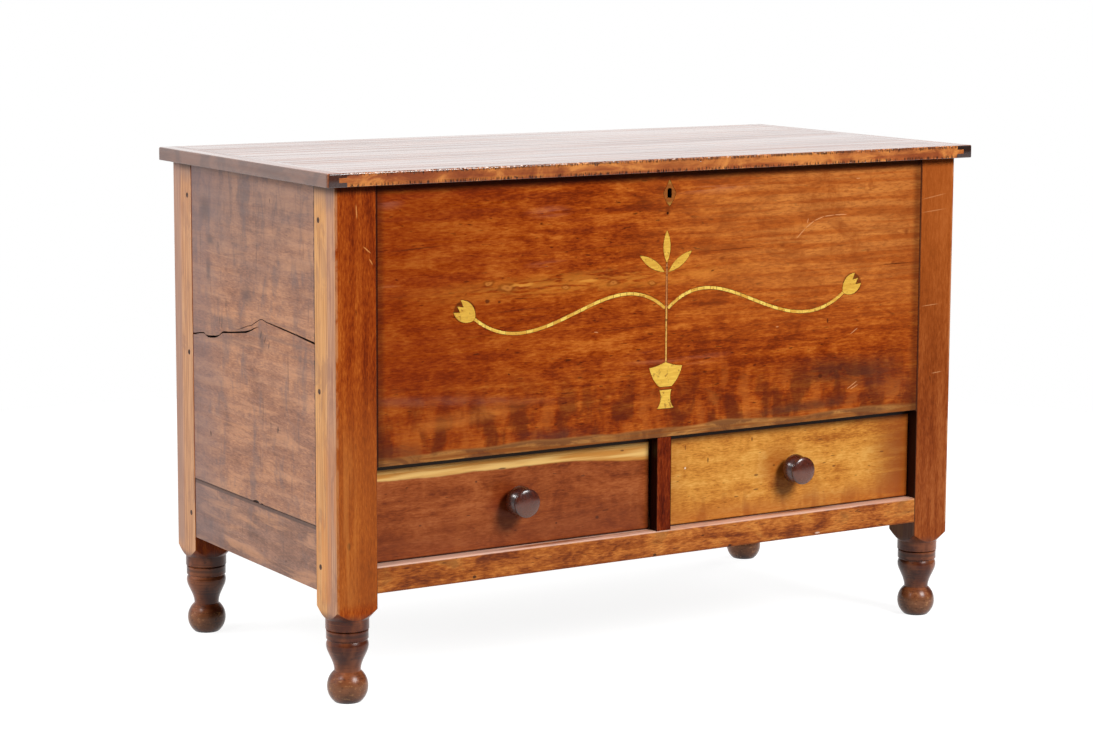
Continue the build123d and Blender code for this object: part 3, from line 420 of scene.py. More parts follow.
# %% The front board's broad changes of colour
front = cherry(
    "front_board_cherry", "X", warm_tones, (3.1, 0.0, 7.4),
    figure=0.95, mottle=1.1, ripple=0.14, flecks=0.75, roughness=0.33, specular=0.1)
sunny = front.where(("x", -0.12, 0.3), ("z", 0.43, 0.64))
front.stain(front.two_tone((188, 104, 42), (216, 140, 70)), 0.6, sunny)
front.stain((148, 70, 22), 0.4, sunny, ("clouds", 0.53, 0.38))
front.stain((146, 68, 22), 0.2, ("x", 0.37, 0.475))
front.stain((140, 62, 18), 0.4, sunny, ("pores", 0.5, 0.36))
patchy = front.noise((26, 1, 13), 5.0, 0.68, 0.4, start=(2, 0, 5))
front.stain((146, 64, 18), 0.45, sunny, (patchy, 0.52, 0.66))
front.stain((132, 42, 3), 0.4, ("x", -0.1, -0.45))
swirls = front.noise((16, 16, 130), 3.0, 0.6, 1.3, start=(1, 1, 2))
knot_band = front.mark(board_front, -0.14, 0.571, 0.37, 0.024, -1, soft=0.1)
front.stain((212, 132, 48), 0.6, knot_band, (swirls, 0.4, 0.6))
front.stain((132, 62, 14), 0.4, knot_band, (swirls, 0.44, 0.32))
print("the front board has its broad colours")

# %% [markdown]
# ## Damp and wear, low on the front board
#
# Low down the grain is rippled, and old damp has left violet-brown stains there. They are
# broad leaning marks, each broken up by the wood's own clouds. The lower edge is worn pale
# in a strip whose height wavers along the board.

# %% Stains and the worn strip
low_down = front.where(("z", 0.47, 0.37))
ripples = front.noise((34, 1, 17), 3.0, 0.55, 0.25, start=(0.3, 0, 0.7), turn=(0, 0.2, 0))
front.stain((84, 28, 10), 0.68, low_down, (ripples, 0.43, 0.65))
front.stain((190, 104, 40), 0.45, low_down, (ripples, 0.5, 0.32))
stain_cloud = front.slide("clouds", 0.4, 0.58, 0.4, 1.0)
for x, z, wide, high, lean, colour, strength in (
    (0.33, 0.405, 0.17, 0.034, 5, (70, 30, 22), 0.8),
    (0.41, 0.39, 0.08, 0.05, 20, (98, 48, 34), 0.5),
    (0.26, 0.357, 0.2, 0.014, -3, (76, 42, 30), 0.66),
    (-0.37, 0.417, 0.24, 0.011, 4, (128, 72, 58), 0.5),
    (-0.18, 0.352, 0.1, 0.016, 4, (88, 46, 36), 0.7),
    (-0.44, 0.35, 0.06, 0.02, 4, (92, 48, 32), 0.6),
    (-0.33, 0.392, 0.14, 0.017, -6, (200, 118, 52), 0.55),
):
    front.stain(colour, strength, front.mark(board_front, x, z, wide, high, lean, soft=0.1), stain_cloud)

board_low, board_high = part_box("front_board")
wavy_edge = front.noise((6, 0, 0), start=(5, 0, 0))
strip_height = front.math("SUBTRACT", "z", front.math("MULTIPLY_ADD", wavy_edge, 0.024, board_low.z))
strip = front.slide(strip_height, 0.004, -0.001)
front.stain(front.two_tone((142, 84, 38), (206, 146, 78)), 0.85, strip)
front.stain((96, 48, 30), 0.74, strip, (front.math("ADD", "streaks", "clouds"), 0.9, 1.1))
print("the worn strip begins at a height of", round(board_low.z, 4), "m")

# %% [markdown]
# ## The front board's knots, cracks and scratches
#
# Now the small things. A knot is three ellipses, one in the other: a brown ring, a pale
# middle and a dark heart. Specks, cracks and scratches are lists of places, because each
# was left by something else and they follow no rule.

# %% The front board's small marks
wobbly = front.unsteady(0.004, 60.0)
knot_rings = (
    (1.25, 0.7, (122, 58, 14), 0.5),
    (0.8, 0.5, (208, 128, 54), 0.7),
    (0.3, 0.2, (140, 68, 22), 0.6),
)
for x, z, wide in (
    (-0.1715, 0.566, 8), (-0.0917, 0.567, 11), (-0.0242, 0.563, 8), (-0.27, 0.571, 14), (-0.3, 0.579, 9),
):
    for share, soft, colour, strength in knot_rings:
        ring = (x, z, share * wide, share * wide / 2.1)
        front.specks(board_front, (ring,), colour, strength, soft=soft, wander=wobbly)
pale_dashes = ((-0.245, 0.5734, 26, 3.4), (-0.135, 0.5724, 21, 3.4))
front.specks(board_front, pale_dashes, (228, 152, 62), 0.7, soft=0.4, wander=wobbly)
front.specks(board_front, (
    (-0.3, 0.554, 5, 3.5), (-0.282, 0.552, 3.5, 2.2), (0.297, 0.485, 3, 4), (0.068, 0.551, 4, 2),
    (0.284, 0.402, 5, 3.5), (-0.32, 0.48, 6, 1.6), (0.084, 0.574, 3, 1.8), (-0.265, 0.447, 3, 1.5),
), (70, 26, 10), 0.75, wander=wobbly)
front.specks(board_front, (
    (0.209, 0.6065, 11, 9), (0.371, 0.588, 5, 5), (0.446, 0.613, 7, 9),
    (0.42, 0.568, 8, 3), (0.1, 0.592, 9, 6), (0.32, 0.6, 12, 3),
), (112, 42, 12), 0.6, soft=0.0, wander=wobbly)
shaky = front.unsteady(0.0008, 90.0)
for x, z, length, lean, strength in (
    (-0.415, 0.634, 0.056, -3, 0.75), (-0.25, 0.538, 0.07, -2, 0.6), (0.428, 0.5655, 0.045, 0, 0.95),
    (0.33, 0.543, 0.05, 2, 0.5), (0.12, 0.605, 0.09, -1, 0.55), (-0.05, 0.5, 0.13, -2, 0.4),
    (0.1, 0.47, 0.1, 2, 0.4), (-0.1, 0.62, 0.12, -2, 0.4), (-0.3, 0.505, 0.09, -1, 0.35),
):
    crack = (x, z, length, lean)
    front.scratches(board_front, (crack,), 0.0012, (80, 30, 8), strength, soft=0.2, wander=shaky)
front.scratches(board_front, (
    (0.2435, 0.6215, 0.0115, -41), (0.26, 0.6343, 0.0105, -33), (0.2775, 0.6425, 0.0105, -17),
    (0.2965, 0.6458, 0.0105, -4), (0.318, 0.6464, 0.013, 1), (0.256, 0.64, 0.004, -75),
    (0.347, 0.4664, 0.009, -32), (0.345, 0.383, 0.012, -30), (0.349, 0.38, 0.009, -25),
    (-0.12, 0.497, 0.004, 10), (0.202, 0.483, 0.003, 0), (0.35, 0.7, 0.004, 0),
), 0.0008, (226, 162, 110), 0.7, soft=0.75)
print("front board: knots, specks, cracks and scratches drawn")

# %% [markdown]
# ## Haze, dirt, painted shade and the inlay's pockets
#
# A pinkish haze lies where the varnish has bloomed; on the upper left it is also a painted sheen.
# Dirt has gathered round the flowers and by the keyhole. Painted shade darkens the board
# against the posts, and a painted shadow of the lid, with some grime, lies under it. The wood
# inside the inlay's pockets, behind the face, is dark: old glue and dirt, with painted shade in
# the gaps, draw a thin line round each pale piece.

# %% Finish the front board
# Pinkish haze of bloomed varnish; the pale patches on the upper left are also a painted sheen.
front.specks(board_front, (
    (-0.4588, 0.6985, 32, 12), (-0.4593, 0.577, 32, 13), (-0.2, 0.6, 50, 10),
    (0.08, 0.699, 100, 14), (-0.2, 0.675, 50, 12), (0.02, 0.45, 120, 20),
), (178, 110, 88), 0.35, ("streaks", 0.44, 0.56), soft=0.0)
for flower in ("inlay_tulip_left", "inlay_tulip_right"):
    low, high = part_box(flower)
    middle, around = (low + high) / 2, 0.54 * (high - low)
    front.stain((66, 26, 8), 0.6, front.mark(board_front, middle.x, middle.z, around.x, around.z, soft=0.85))
front.specks(board_front, ((0.002, 0.6665, 6, 11),), (100, 44, 12), 0.5, soft=0.2)
front.specks(board_front, ((0.0022, 0.6635, 2.4, 2.8),), (36, 12, 6), 0.95)

left_post_edge, right_post_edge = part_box("post_front_left")[1].x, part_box("post_front_right")[0].x
under_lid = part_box("post_front_left")[1].z
# Painted shade: the board darkens in a thin line, then softly, towards each post, in the step where it meets
# it.
for edge, reach, strength in (
    (left_post_edge, 0.0034, 0.96), (left_post_edge, 0.016, 0.45),
    (right_post_edge, -0.0022, 0.92), (right_post_edge, -0.02, 0.5),
):
    front.stain((48, 16, 8), strength, ("x", edge + reach, edge + reach / 3))
# A painted shadow of the lid's overhang, with a little grime, darkens the top of the board.
front.stain((42, 12, 5), 0.85, (front.shifted("z", "clouds", 0.006), under_lid - 0.015, under_lid - 0.002))
# Dark glue and dirt, with painted shade in the gaps, on the pockets' walls behind the face.
board_y, pocket_y = board_front[1], board_front[1] + 0.007
front.stain(
    (44, 20, 10), 1.0, ("y", board_y + 0.00008, board_y + 0.0002), ("y", pocket_y + 0.001, pocket_y),
    ("z", under_lid - 0.0005, under_lid - 0.0007))
inner_tan = ((126, 80, 50), (166, 112, 74))
front.stain(front.two_tone(*inner_tan), 0.8, ("y", board_high.y - 0.0007, board_high.y - 0.0001))
front.done("front_board")
print("the front board's finish has", len(front.tree.nodes), "nodes")

# %% [markdown]
# ## The sides of the posts
#
# Each post is one stick, square above and turned below. Its front is warm orange-brown with
# straight grain. Its side was never polished as much: it is golden along the boards and a
# dull pinkish tan along the arris, where hands and brooms rubbed it. One material does it
# all: the direction a face looks in tells the sides, and the distance from the arris tells
# gold from tan.

# %% The rubbed sides of the posts
tan_width, tan_waver = 0.018, 0.016


def rubbed_side(post, start, corner, outer, pale):
    """A post's side: tan along the arris at corner and outer, golden beyond it, grey at the top with dust and a
    painted sheen.
    """
    outward = post.node("ShaderNodeNewGeometry").outputs["Normal"]
    outward_x = post.node("ShaderNodeSeparateXYZ", (outward,)).outputs[0]
    side = post.slide(post.math("ABSOLUTE", outward_x), 0.6, 0.85)
    fine = post.noise((420, 420, 9), 3.0, 0.6, start=start)
    post.stain(post.two_tone((164, 116, 90), (204, 156, 122), fine, 0.36, 0.64), 0.92, side)
    from_corner = post.distance("y", corner)
    tan_edge = post.math("MULTIPLY_ADD", "streaks", tan_waver, tan_width)
    beyond_tan = post.math("SUBTRACT", from_corner, tan_edge)
    gold = post.two_tone((196, 136, 80), (228, 170, 110), fine, 0.36, 0.64)
    post.stain(gold, 0.92 * pale, side, (beyond_tan, -0.004, 0.006))
    # Grey at the top of the side: dust with a painted sheen of the pale wall.
    post.stain((124, 104, 98), 0.6, side, (post.shifted("z", "clouds", 0.06), 0.715, 0.75))
    post.stain((140, 98, 84), 0.35, side, ("clouds", 0.5, 0.36))
    from_arris = post.math("ADD", from_corner, post.distance("x", outer))
    post.stain((206, 146, 100), 0.6, (from_arris, 0.0045, 0.0025), ("clouds", 0.4, 0.56))


tan_middle = 1000 * (tan_width + tan_waver / 2)
print("a post's side turns from tan to gold about", round(tan_middle), "mm from its arris")

# %% [markdown]
# ## The turned feet
#
# The foot was stained nearly black-brown and kept its gloss. It is the same stick as the post,
# so the height tells where the stain begins. The noise round it is drawn out sideways, as the
# lathe leaves it, and brooms have scuffed the ball at the bottom down to pale wood.


# %% The stained feet, and a maker of post finishes
def stained_foot(post, start):
    """The turned foot: dark and glossy, scuffed low on its ball, darker in the cut ring, with painted shade
    where it meets the floor.
    """
    uneven = post.noise((40, 40, 20))
    foot = post.slide(post.shifted("z", uneven, 0.012), 0.138, 0.122)
    post.stain(post.two_tone((76, 30, 12), (136, 76, 44), uneven, 0.35, 0.65), 0.98, foot)
    lathe_lines = post.noise((12, 12, 620), 2.0, 0.6, start=start)
    post.stain((52, 20, 10), 0.4, foot, (lathe_lines, 0.54, 0.66))
    post.stain((146, 84, 46), 0.35, foot, (lathe_lines, 0.42, 0.32))
    scuffs = post.noise((130, 130, 240), 3.0, 0.65, start=start)
    post.stain((136, 92, 62), 0.5, ("z", 0.036, 0.024), ("z", 0.004, 0.01))
    post.stain((186, 134, 88), 0.6, (scuffs, 0.56, 0.68), ("z", 0.046, 0.03))
    post.stain((44, 18, 10), 0.5, foot, (scuffs, 0.44, 0.32))
    # Painted shade where the ball meets the floor.
    post.stain((34, 18, 12), 0.7, ("z", 0.004, 0.0015))
    # Darker in the cut ring.
    cut_ring = 0.0975
    post.stain((36, 14, 8), 0.5, (post.distance("z", cut_ring), 0.003, 0.001))
    feed(post.shader.inputs["Roughness"], post.slide(foot, 0.0, 1.0, 0.35, 0.3))
    feed(post.shader.inputs["Coat Weight"], post.math("MULTIPLY", foot, 0.4))


def post_finish(node, start, tones=warm_tones, pale=1.0):
    """A post's cherry, with its rubbed side, a painted shadow of the lid at its top and its stained foot."""
    low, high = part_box(node)
    corner = low.y if "front" in node else high.y
    outer = low.x if "left" in node else high.x
    post = cherry(
        node + "_cherry", "Z", tones, start,
        bands=9.0, figure=0.95, mottle=0.5, ripple=0.0, flecks=0.4, specular=0.12, coat_blur=0.26)
    rubbed_side(post, start, corner, outer, pale)
    # A painted shadow of the lid's overhang darkens the top of the post.
    post.stain((40, 16, 8), 0.6, (post.shifted("z", "clouds", 0.006), under_lid - 0.011, under_lid - 0.0005))
    stained_foot(post, start)
    return post


print("posts to finish:", sum("post" in name for name in nodes))

# %% [markdown]
# ## Four posts
#
# The four posts share the maker, but each starts at its own place in the grain, and the two in
# front carry their own marks. Where a post meets the front board a dark line is painted: varnish
# and dust, with painted shade in the small step between them. Beside the right drawer's recess
# the right post's side is painted nearly black as painted shade.

# %% Finish the posts
post_left = post_finish("post_front_left", (1.3, 4.1, 0.7))
post_left.specks(post_front, ((-0.5223, 0.227, 3, 7),), (52, 20, 8), 0.9)
post_left.scratches(
    post_front, ((-0.4921, 0.6368, 0.009, 40), (-0.486, 0.62, 0.006, 60), (-0.508, 0.69, 0.012, 86)),
    0.0011, (232, 156, 84), 0.7)
worn_bottom = post_left.where(("z", 0.42, 0.3), ("z", 0.134, 0.15), ("streaks", 0.42, 0.58))
post_left.stain((214, 132, 62), 0.45, worn_bottom, ("x", -0.5, -0.53))
post_y = post_front[1]
front_only = ("y", post_y + 0.001, post_y + 0.0001)
post_left.stain((176, 104, 46), 0.35, ("z", 0.5, 0.3), ("z", 0.13, 0.15), front_only)
# Painted shade with dust: a dark line where the post meets the front board.
post_left.stain((66, 24, 8), 0.75, ("x", left_post_edge - 0.002, left_post_edge - 0.0003))
post_left.done("post_front_left")

brown_tones = ((104, 40, 8), (132, 57, 15), (152, 74, 28), (174, 96, 46))
post_right = post_finish("post_front_right", (7.7, 2.3, 3.9), brown_tones)
post_right.scratches(post_front, (
    (0.4973, 0.666, 0.029, -9), (0.498, 0.644, 0.028, -5), (0.494, 0.497, 0.02, -3), (0.51, 0.39, 0.012, -4),
), 0.0008, (224, 164, 112), 0.6)
post_right.stain((196, 104, 38), 0.36, ("z", 0.3, 0.68))
# Painted shade with dust: a dark line where the post meets the front board.
post_right.stain((80, 34, 14), 0.7, ("x", right_post_edge + 0.002, right_post_edge + 0.0005))
# Painted shade on the post's side face beside the right drawer's recess.
beside_drawer = post_right.where(("z", 0.193, 0.195), ("z", 0.3325, 0.3305))
post_right.stain((36, 12, 6), 0.95, beside_drawer, ("x", right_post_edge + 0.0007, right_post_edge + 0.0001))
post_right.done("post_front_right")

post_behind = post_finish("post_back_left", (4.4, 9.1, 1.2), pale=0.35)
post_behind.stain((160, 126, 112), 0.6, ("x", -0.5398, -0.5406), ("y", 0.241, 0.252), ("z", 0.13, 0.15))
post_behind.done("post_back_left")
post_finish("post_back_right", (2.9, 5.5, 6.1)).done("post_back_right")
print("posts finished:", sum("post" in name for name in nodes))

# %% [markdown]
# ## Cutting real damage
#
# The ends of the chest have an open split, chips along the seam and old nail holes. They could
# be painted, but a split has depth, and light finds it, so we cut them. A solid made by the
# CAD side must keep its mesh, so each damaged board is a copy with its loose triangles merged,
# the damage is cut from the copy with a Boolean, and the copy stands for the board.


# %% Helpers for cutting
def choose_only(piece):
    """Leaves one piece selected and active."""
    bpy.ops.object.select_all(action="DESELECT")
    piece.select_set(True)
    bpy.context.view_layer.objects.active = piece


def copy_of(node, name):
    """A copy of a solid piece with its loose triangles merged into one skin."""
    piece = bpy.data.objects.new(name, nodes[node].data.copy())
    scene.collection.objects.link(piece)
    choose_only(piece)
    bpy.ops.object.mode_set(mode="EDIT")
    bpy.ops.mesh.select_all(action="SELECT")
    bpy.ops.mesh.remove_doubles(threshold=0.000002)
    bpy.ops.object.mode_set(mode="OBJECT")
    return piece


def cut_away(piece, cutters):
    """Cuts all the cutters out of a piece at once."""
    bpy.ops.object.select_all(action="DESELECT")
    for cutter in cutters:
        cutter.select_set(True)
    bpy.context.view_layer.objects.active = cutters[0]
    bpy.ops.object.join()
    joined = bpy.context.object
    choose_only(piece)
    cut = piece.modifiers.new("cut", "BOOLEAN")
    cut.object = joined
    cut.solver = "EXACT"
    cut.use_self = True
    bpy.ops.object.modifier_apply(modifier=cut.name)
    bpy.data.objects.remove(joined)
    print(piece.name, "now has", len(piece.data.polygons), "faces")


print("helpers for cutting are ready")

# %% [markdown]
# ## Starting a piece and closing it
#
# Every new shape begins and ends alike. We add a primitive at its place with nothing else
# selected, put the place into its mesh, so that the object itself stays at the origin, and
# open it in edit mode. At the end all faces are turned outwards, and edit mode is left.


# %% Helpers for shaping
def start_piece(name, add_primitive, **where):
    """Adds a primitive, puts its place into its mesh and opens it in edit mode, all selected."""
    bpy.ops.object.select_all(action="DESELECT")
    add_primitive(**where)
    bpy.ops.object.transform_apply(location=True, rotation=True, scale=True)
    piece = bpy.context.object
    piece.name = name
    bpy.ops.object.mode_set(mode="EDIT")
    bpy.ops.mesh.select_all(action="SELECT")
    return piece


def close_piece():
    """Turns all faces of the piece in edit mode outwards, and leaves edit mode."""
    bpy.ops.mesh.select_all(action="SELECT")
    bpy.ops.mesh.normals_make_consistent(inside=False)
    bpy.ops.object.mode_set(mode="OBJECT")


print("helpers for shaping are ready")

# %% [markdown]
# ## The split in the left end
#
# A split follows the grain, jumps sideways where a fibre gives way, and is widest where it
# reaches the board's end. We make it from a triangle with its tip pointing into the
# wood: it is extruded from point to point along the split, and made wider or narrower at each
# stop. That gives a long wandering wedge, which cuts a V into the face.

# %% Model the split's wedges
side_x = left_end[1]
split_depth = 0.011


def split_wedge(name, stops):
    """A wedge along (y, z, width) stops in millimetres, its sharp edge split_depth inside the face."""
    y, z, width = (s / 1000 for s in stops[0])
    wedge = start_piece(
        name, bpy.ops.mesh.primitive_circle_add, vertices=3, radius=1.0, fill_type="NGON",
        location=(side_x, y, z), rotation=(math.pi / 2, math.pi / 2, 0))
    bpy.ops.transform.resize(value=(split_depth, 1.0, width), center_override=(side_x, y, z))
    for stop in stops[1:]:
        next_y, next_z, next_width = (s / 1000 for s in stop)
        bpy.ops.mesh.extrude_region_move(TRANSFORM_OT_translate={"value": (0.0, next_y - y, next_z - z)})
        y, z = next_y, next_z
        bpy.ops.transform.resize(value=(1.0, 1.0, next_width / width), center_override=(side_x, y, z))
        width = next_width
    close_piece()
    return wedge


back_split = split_wedge("back_split", (
    (214, 467.5, 2.0), (201, 468.5, 2.0), (184, 472, 1.5), (168, 473.6, 1.6), (162, 471, 0.8),
    (154, 470, 2.6), (141, 471, 3.0), (124, 473.5, 2.6), (113, 477, 1.2), (106, 481, 1.6), (98, 483, 2.4),
    (70, 486, 2.0), (44, 489.5, 2.3), (22, 492.5, 2.6), (6, 497, 1.8), (-8, 502, 1.2), (-22, 505.5, 0.2)))
front_split = split_wedge("front_split", (
    (60, 490.5, 0.1), (43, 494.5, 0.6), (22, 500.5, 0.8), (4, 504.5, 0.9), (-8, 509.5, 1.0),
    (-24, 516, 1.1), (-33, 516.8, 1.1), (-46, 514.5, 1.2), (-73, 512.8, 1.6), (-98, 511, 2.0),
    (-130, 508.6, 1.8), (-162, 506, 2.4), (-192, 503.4, 2.8), (-206, 502.3, 2.8)))
print("split modelled in", len(back_split.data.polygons) + len(front_split.data.polygons), "faces")

# %% [markdown]
# ## Chips and nail holes
#
# A chip is a small scoop. We start from a coarse sphere, squash it in edit mode, and give each
# its own size and turn. A nail hole is a short cone, driven in from the face.


# %% Model chips and nail holes
def scoop(name, centre, size, turn=0.0):
    """A coarse squashed ball at centre, size being its three radii."""
    ball = start_piece(
        name, bpy.ops.mesh.primitive_ico_sphere_add, subdivisions=2, radius=1.0, location=centre)
    bpy.ops.transform.resize(value=size, center_override=centre)
    bpy.ops.transform.rotate(value=turn, orient_axis="X", center_override=centre)
    close_piece()
    return ball


def nail_hole(name, y, z, radius=0.0016):
    """A tapering hole in the left end."""
    hole = start_piece(
        name, bpy.ops.mesh.primitive_cone_add, vertices=12, radius1=radius, radius2=radius * 0.5, depth=0.014,
        location=(side_x, y, z), rotation=(0, math.pi / 2, 0))
    bpy.ops.transform.resize(value=(1.0, 0.75, 1.2), center_override=(side_x, y, z))
    close_piece()
    return hole


chips = [
    scoop(f"seam_chip_{count}", (side_x, y, z), size, turn)
    for count, (y, z, size, turn) in enumerate((
        (0.147, 0.2448, (0.0022, 0.0022, 0.0026), 0.2),
        (-0.005, 0.2468, (0.002, 0.011, 0.0028), 0.1),
        (-0.028, 0.2455, (0.0026, 0.006, 0.0022), -0.3),
        (0.082, 0.2444, (0.0016, 0.014, 0.0012), 0.0),
        (-0.146, 0.244, (0.0018, 0.02, 0.0014), 0.05),
    ))
]
upper_holes = [
    nail_hole("nail_hole_side", 0.148, 0.325),
    nail_hole("nail_hole_seat", -0.08, 0.364, 0.0012),
]
lower_holes = [
    nail_hole("nail_hole_low_front", -0.0234, 0.1776),
    nail_hole("nail_hole_low_back", -0.1018, 0.178),
]
print("chips:", len(chips), "nail holes:", len(upper_holes + lower_holes))

# %% [markdown]
# ## Cutting the two boards of the left end
#
# The upper board gets the split, the chips and two of the nail holes, and the lower one gets
# the other two. All cutters of a board are joined first, so that one Boolean does it.

# %% Cut the left end's boards
upper_left = copy_of("side_board_upper_left", "side_board_upper_left_worn")
cut_away(upper_left, [back_split, front_split] + chips + upper_holes)
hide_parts("side_board_upper_left")
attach(upper_left, "carcass")
lower_left = copy_of("side_board_lower_left", "side_board_lower_left_worn")
cut_away(lower_left, lower_holes)
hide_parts("side_board_lower_left")
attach(lower_left, "carcass")
print("left end's boards cut")

# %% [markdown]
# ## The side boards' finish
#
# The ends of the chest got less polish than the front: the cherry there has gone pinkish tan.
# Towards the top and the back it is a cool grey, dust together with a painted sheen of the pale
# wall. Saw and plane went up and down this face, so the smudges run upright, across the grain,
# while pale rubbed streaks lean the other way. Both are noises stretched in their own direction.

# %% A maker of side board finishes
side_tones = ((118, 80, 64), (150, 104, 82), (174, 122, 92), (202, 146, 106))
low_side_tones = ((104, 74, 62), (130, 94, 78), (150, 108, 88), (174, 126, 100))


def side_finish(name, start, top, tones=side_tones):
    """Rubbed, dusty cherry for an end; top is where its grey, dust with a painted sheen, is strongest."""
    board = cherry(
        name, "Y", tones, start, bands=7.0, figure=0.45, mottle=1.1, ripple=0.1, flecks=0.4, roughness=0.42)
    rubbed = board.noise((9, 8, 70), 4.0, 0.62, 0.5, start, turn=(0.3, 0, 0))
    board.stain((206, 150, 112), 0.55, (rubbed, 0.48, 0.66))
    smudge = board.noise((9, 36, 15), 5.0, 0.66, 0.5, start)
    board.stain((110, 92, 90), 0.5, (smudge, 0.5, 0.7))
    grey_waver = board.noise((4, 6, 6), 3.0, 0.6, 0.8, start)
    dust_and_sheen = board.two_tone((134, 108, 98), (94, 84, 86), smudge)
    # Dust and a painted sheen of the pale wall: grey towards the top and the back.
    board.stain(dust_and_sheen, 0.74, (board.shifted("z", grey_waver, 0.3), top - 0.12, top + 0.2))
    board.stain((118, 98, 98), 0.5, (board.shifted("y", grey_waver, 0.12), 0.12, 0.25))
    scratch = board.noise((3, 260, 14), start=start)
    board.stain((84, 62, 56), 0.5, (scratch, 0.68, 0.74))
    chest_middle, inner_face = -0.0025, 0.5175
    from_middle = board.distance("x", chest_middle)
    board.stain(board.two_tone(*inner_tan), 0.8, (from_middle, inner_face + 0.0007, inner_face + 0.0001))
    return board


print("side boards' darkest and lightest tones:", side_tones[0], side_tones[-1])

# %% [markdown]
# ## Finish the four side boards
#
# The visible marks come last: dark smudges, knots by the split, small gouges, the dark
# uneven line where each board goes into its post, and the dirt in the open seam. The walls of
# the split and the holes are old broken wood, nearly black.

# %% Finish the side boards
side_upper = side_finish("side_upper_left_cherry", (2.2, 0.3, 5.0), 0.74)
side_upper.specks(left_end, (
    (0.143, 0.615, 24, 14), (-0.0305, 0.485, 12, 20), (0.104, 0.5, 6, 14),
    (0.02, 0.545, 30, 20), (0.15, 0.57, 12, 30), (0.16, 0.66, 30, 30),
), (84, 70, 70), 0.65, soft=0.0)
side_upper.specks(left_end, (
    (0.148, 0.325, 3, 6), (-0.08, 0.364, 3, 6), (0.115, 0.61, 1.5, 8), (-0.06, 0.69, 1.5, 5),
    (-0.026, 0.494, 2.5, 10, 25), (-0.04, 0.489, 2, 9, 30), (-0.052, 0.482, 2, 7, 30),
    (0.112, 0.5, 1.8, 9, 10), (0.106, 0.492, 1.6, 6, -20), (0.12, 0.73, 1.5, 9), (0.165, 0.724, 1.2, 4),
), (44, 30, 28), 0.75, soft=0.3, wander=side_upper.unsteady(0.003, 70.0))
side_upper.stain((110, 80, 70), 0.4, ("z", 0.462, 0.472), ("z", 0.525, 0.512), ("streaks", 0.45, 0.6))

cut_walls = (("x", side_x + 0.0002, side_x + 0.0007), ("x", side_x + 0.0185, side_x + 0.017))
side_upper.stain((26, 14, 10), 1.0, *cut_walls, ("z", under_lid - 0.0005, under_lid - 0.001))
ragged = side_upper.shifted("y", side_upper.noise((0, 0, 60), 3.0), 0.007)
for edge, reach in ((0.2125, -0.0022), (-0.1935, 0.0014)):
    side_upper.stain((48, 32, 28), 0.9, (ragged, edge + reach, edge))
side_upper.stain((52, 36, 32), 0.75, ("z", 0.2485, 0.2462))
side_upper.done(upper_left)

side_lower = side_finish("side_lower_left_cherry", (6.2, 3.3, 1.0), 0.5, low_side_tones)
for edge, reach in ((0.206, -0.0016), (-0.198, 0.0012)):
    side_lower.stain((48, 32, 28), 0.85, ("y", edge + reach, edge))
side_lower.stain((60, 42, 38), 0.7, ("z", 0.2395, 0.242))
side_lower.stain((26, 14, 10), 1.0, *cut_walls, ("z", 0.235, 0.23))
side_lower.done(lower_left)
side_finish("side_upper_right_cherry", (9.2, 1.3, 2.0), 0.74).done("side_board_upper_right")
side_finish("side_lower_right_cherry", (0.2, 7.3, 8.0), 0.5, low_side_tones).done("side_board_lower_right")
print("side boards finished:", sum(name.startswith("side_board") for name in nodes))

# %% [markdown]
# ## Rail, divider and pegs
#
# The rail under the drawers is blotchy, golden where it was rubbed and dark where it wasn't,
# and a thin pale line on its top arris is a painted highlight, with some wear. The little divider
# is the darkest, reddest piece of the front, and its sides beside the drawers are painted nearly
# black as painted shade. The pegs show their end grain, dark from old glue.

# %% Finish the rail, the divider and the pegs
rail = cherry(
    "rail_cherry", "X", ((98, 38, 8), (150, 72, 20), (190, 106, 40), (220, 144, 66)), (8.8, 2.0, 1.5),
    figure=0.8, mottle=1.5, flecks=0.7)
rail.stain((92, 36, 10), 0.5, ("clouds", 0.56, 0.68))
# A painted highlight, with some wear, along the rail's rounded top arris.
rail.stain((232, 192, 172), 0.75, ("z", 0.1905, 0.1925), ("streaks", 0.32, 0.5))
rail.stain((104, 48, 18), 0.6, ("z", 0.159, 0.156))
rail_specks = ((-0.015, 0.158, 4, 3), (-0.322, 0.161, 4, 3), (0.12, 0.157, 4, 3))
rail.specks(post_front, rail_specks, (48, 20, 8), 0.85)
rail.specks(post_front, ((0.284, 0.159, 6, 1.6),), (232, 204, 184), 0.8)
rail.done("bottom_rail")
divider = cherry(
    "divider_cherry", "Z", ((72, 18, 5), (106, 33, 8), (138, 52, 16), (166, 80, 34)), (5.1, 2.8, 3.3),
    figure=0.9, roughness=0.3, specular=0.06)
# Painted shade: the divider's sides, in the drawers' recess, are nearly black.
divider.stain((24, 7, 4), 0.95, (divider.math("ABSOLUTE", "x"), 0.0112, 0.0122))
divider.done("drawer_divider")
pegs = cherry(
    "peg_end_grain", "X", ((40, 22, 16), (62, 38, 28), (88, 58, 42), (120, 84, 60)), (1, 2, 3),
    bands=4, roughness=0.5)
pegs.done("side_pegs_left", "side_pegs_right")
print("rail, divider and pegs finished")

# %% [markdown]
# ## The lid
#
# The lid is polished cherry: two wide boards between breadboard ends, whose grain runs the
# other way. Seen almost edge on it mirrors the bright wall and looks nearly white, with the
# rubbed streaks showing as grey-pink lines. A clear coat whose weight follows the streaks
# does that. The joints between the boards hold dirt, and the short ends of the breadboards
# are end grain, which drank the stain and is nearly black.

# %% A maker of lid finishes
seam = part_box("lid_board_front")[1].y
end_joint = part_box("lid_end_right")[0].x
lid_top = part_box("lid_board_front")[1].z
joint_dirt = (60, 28, 20)


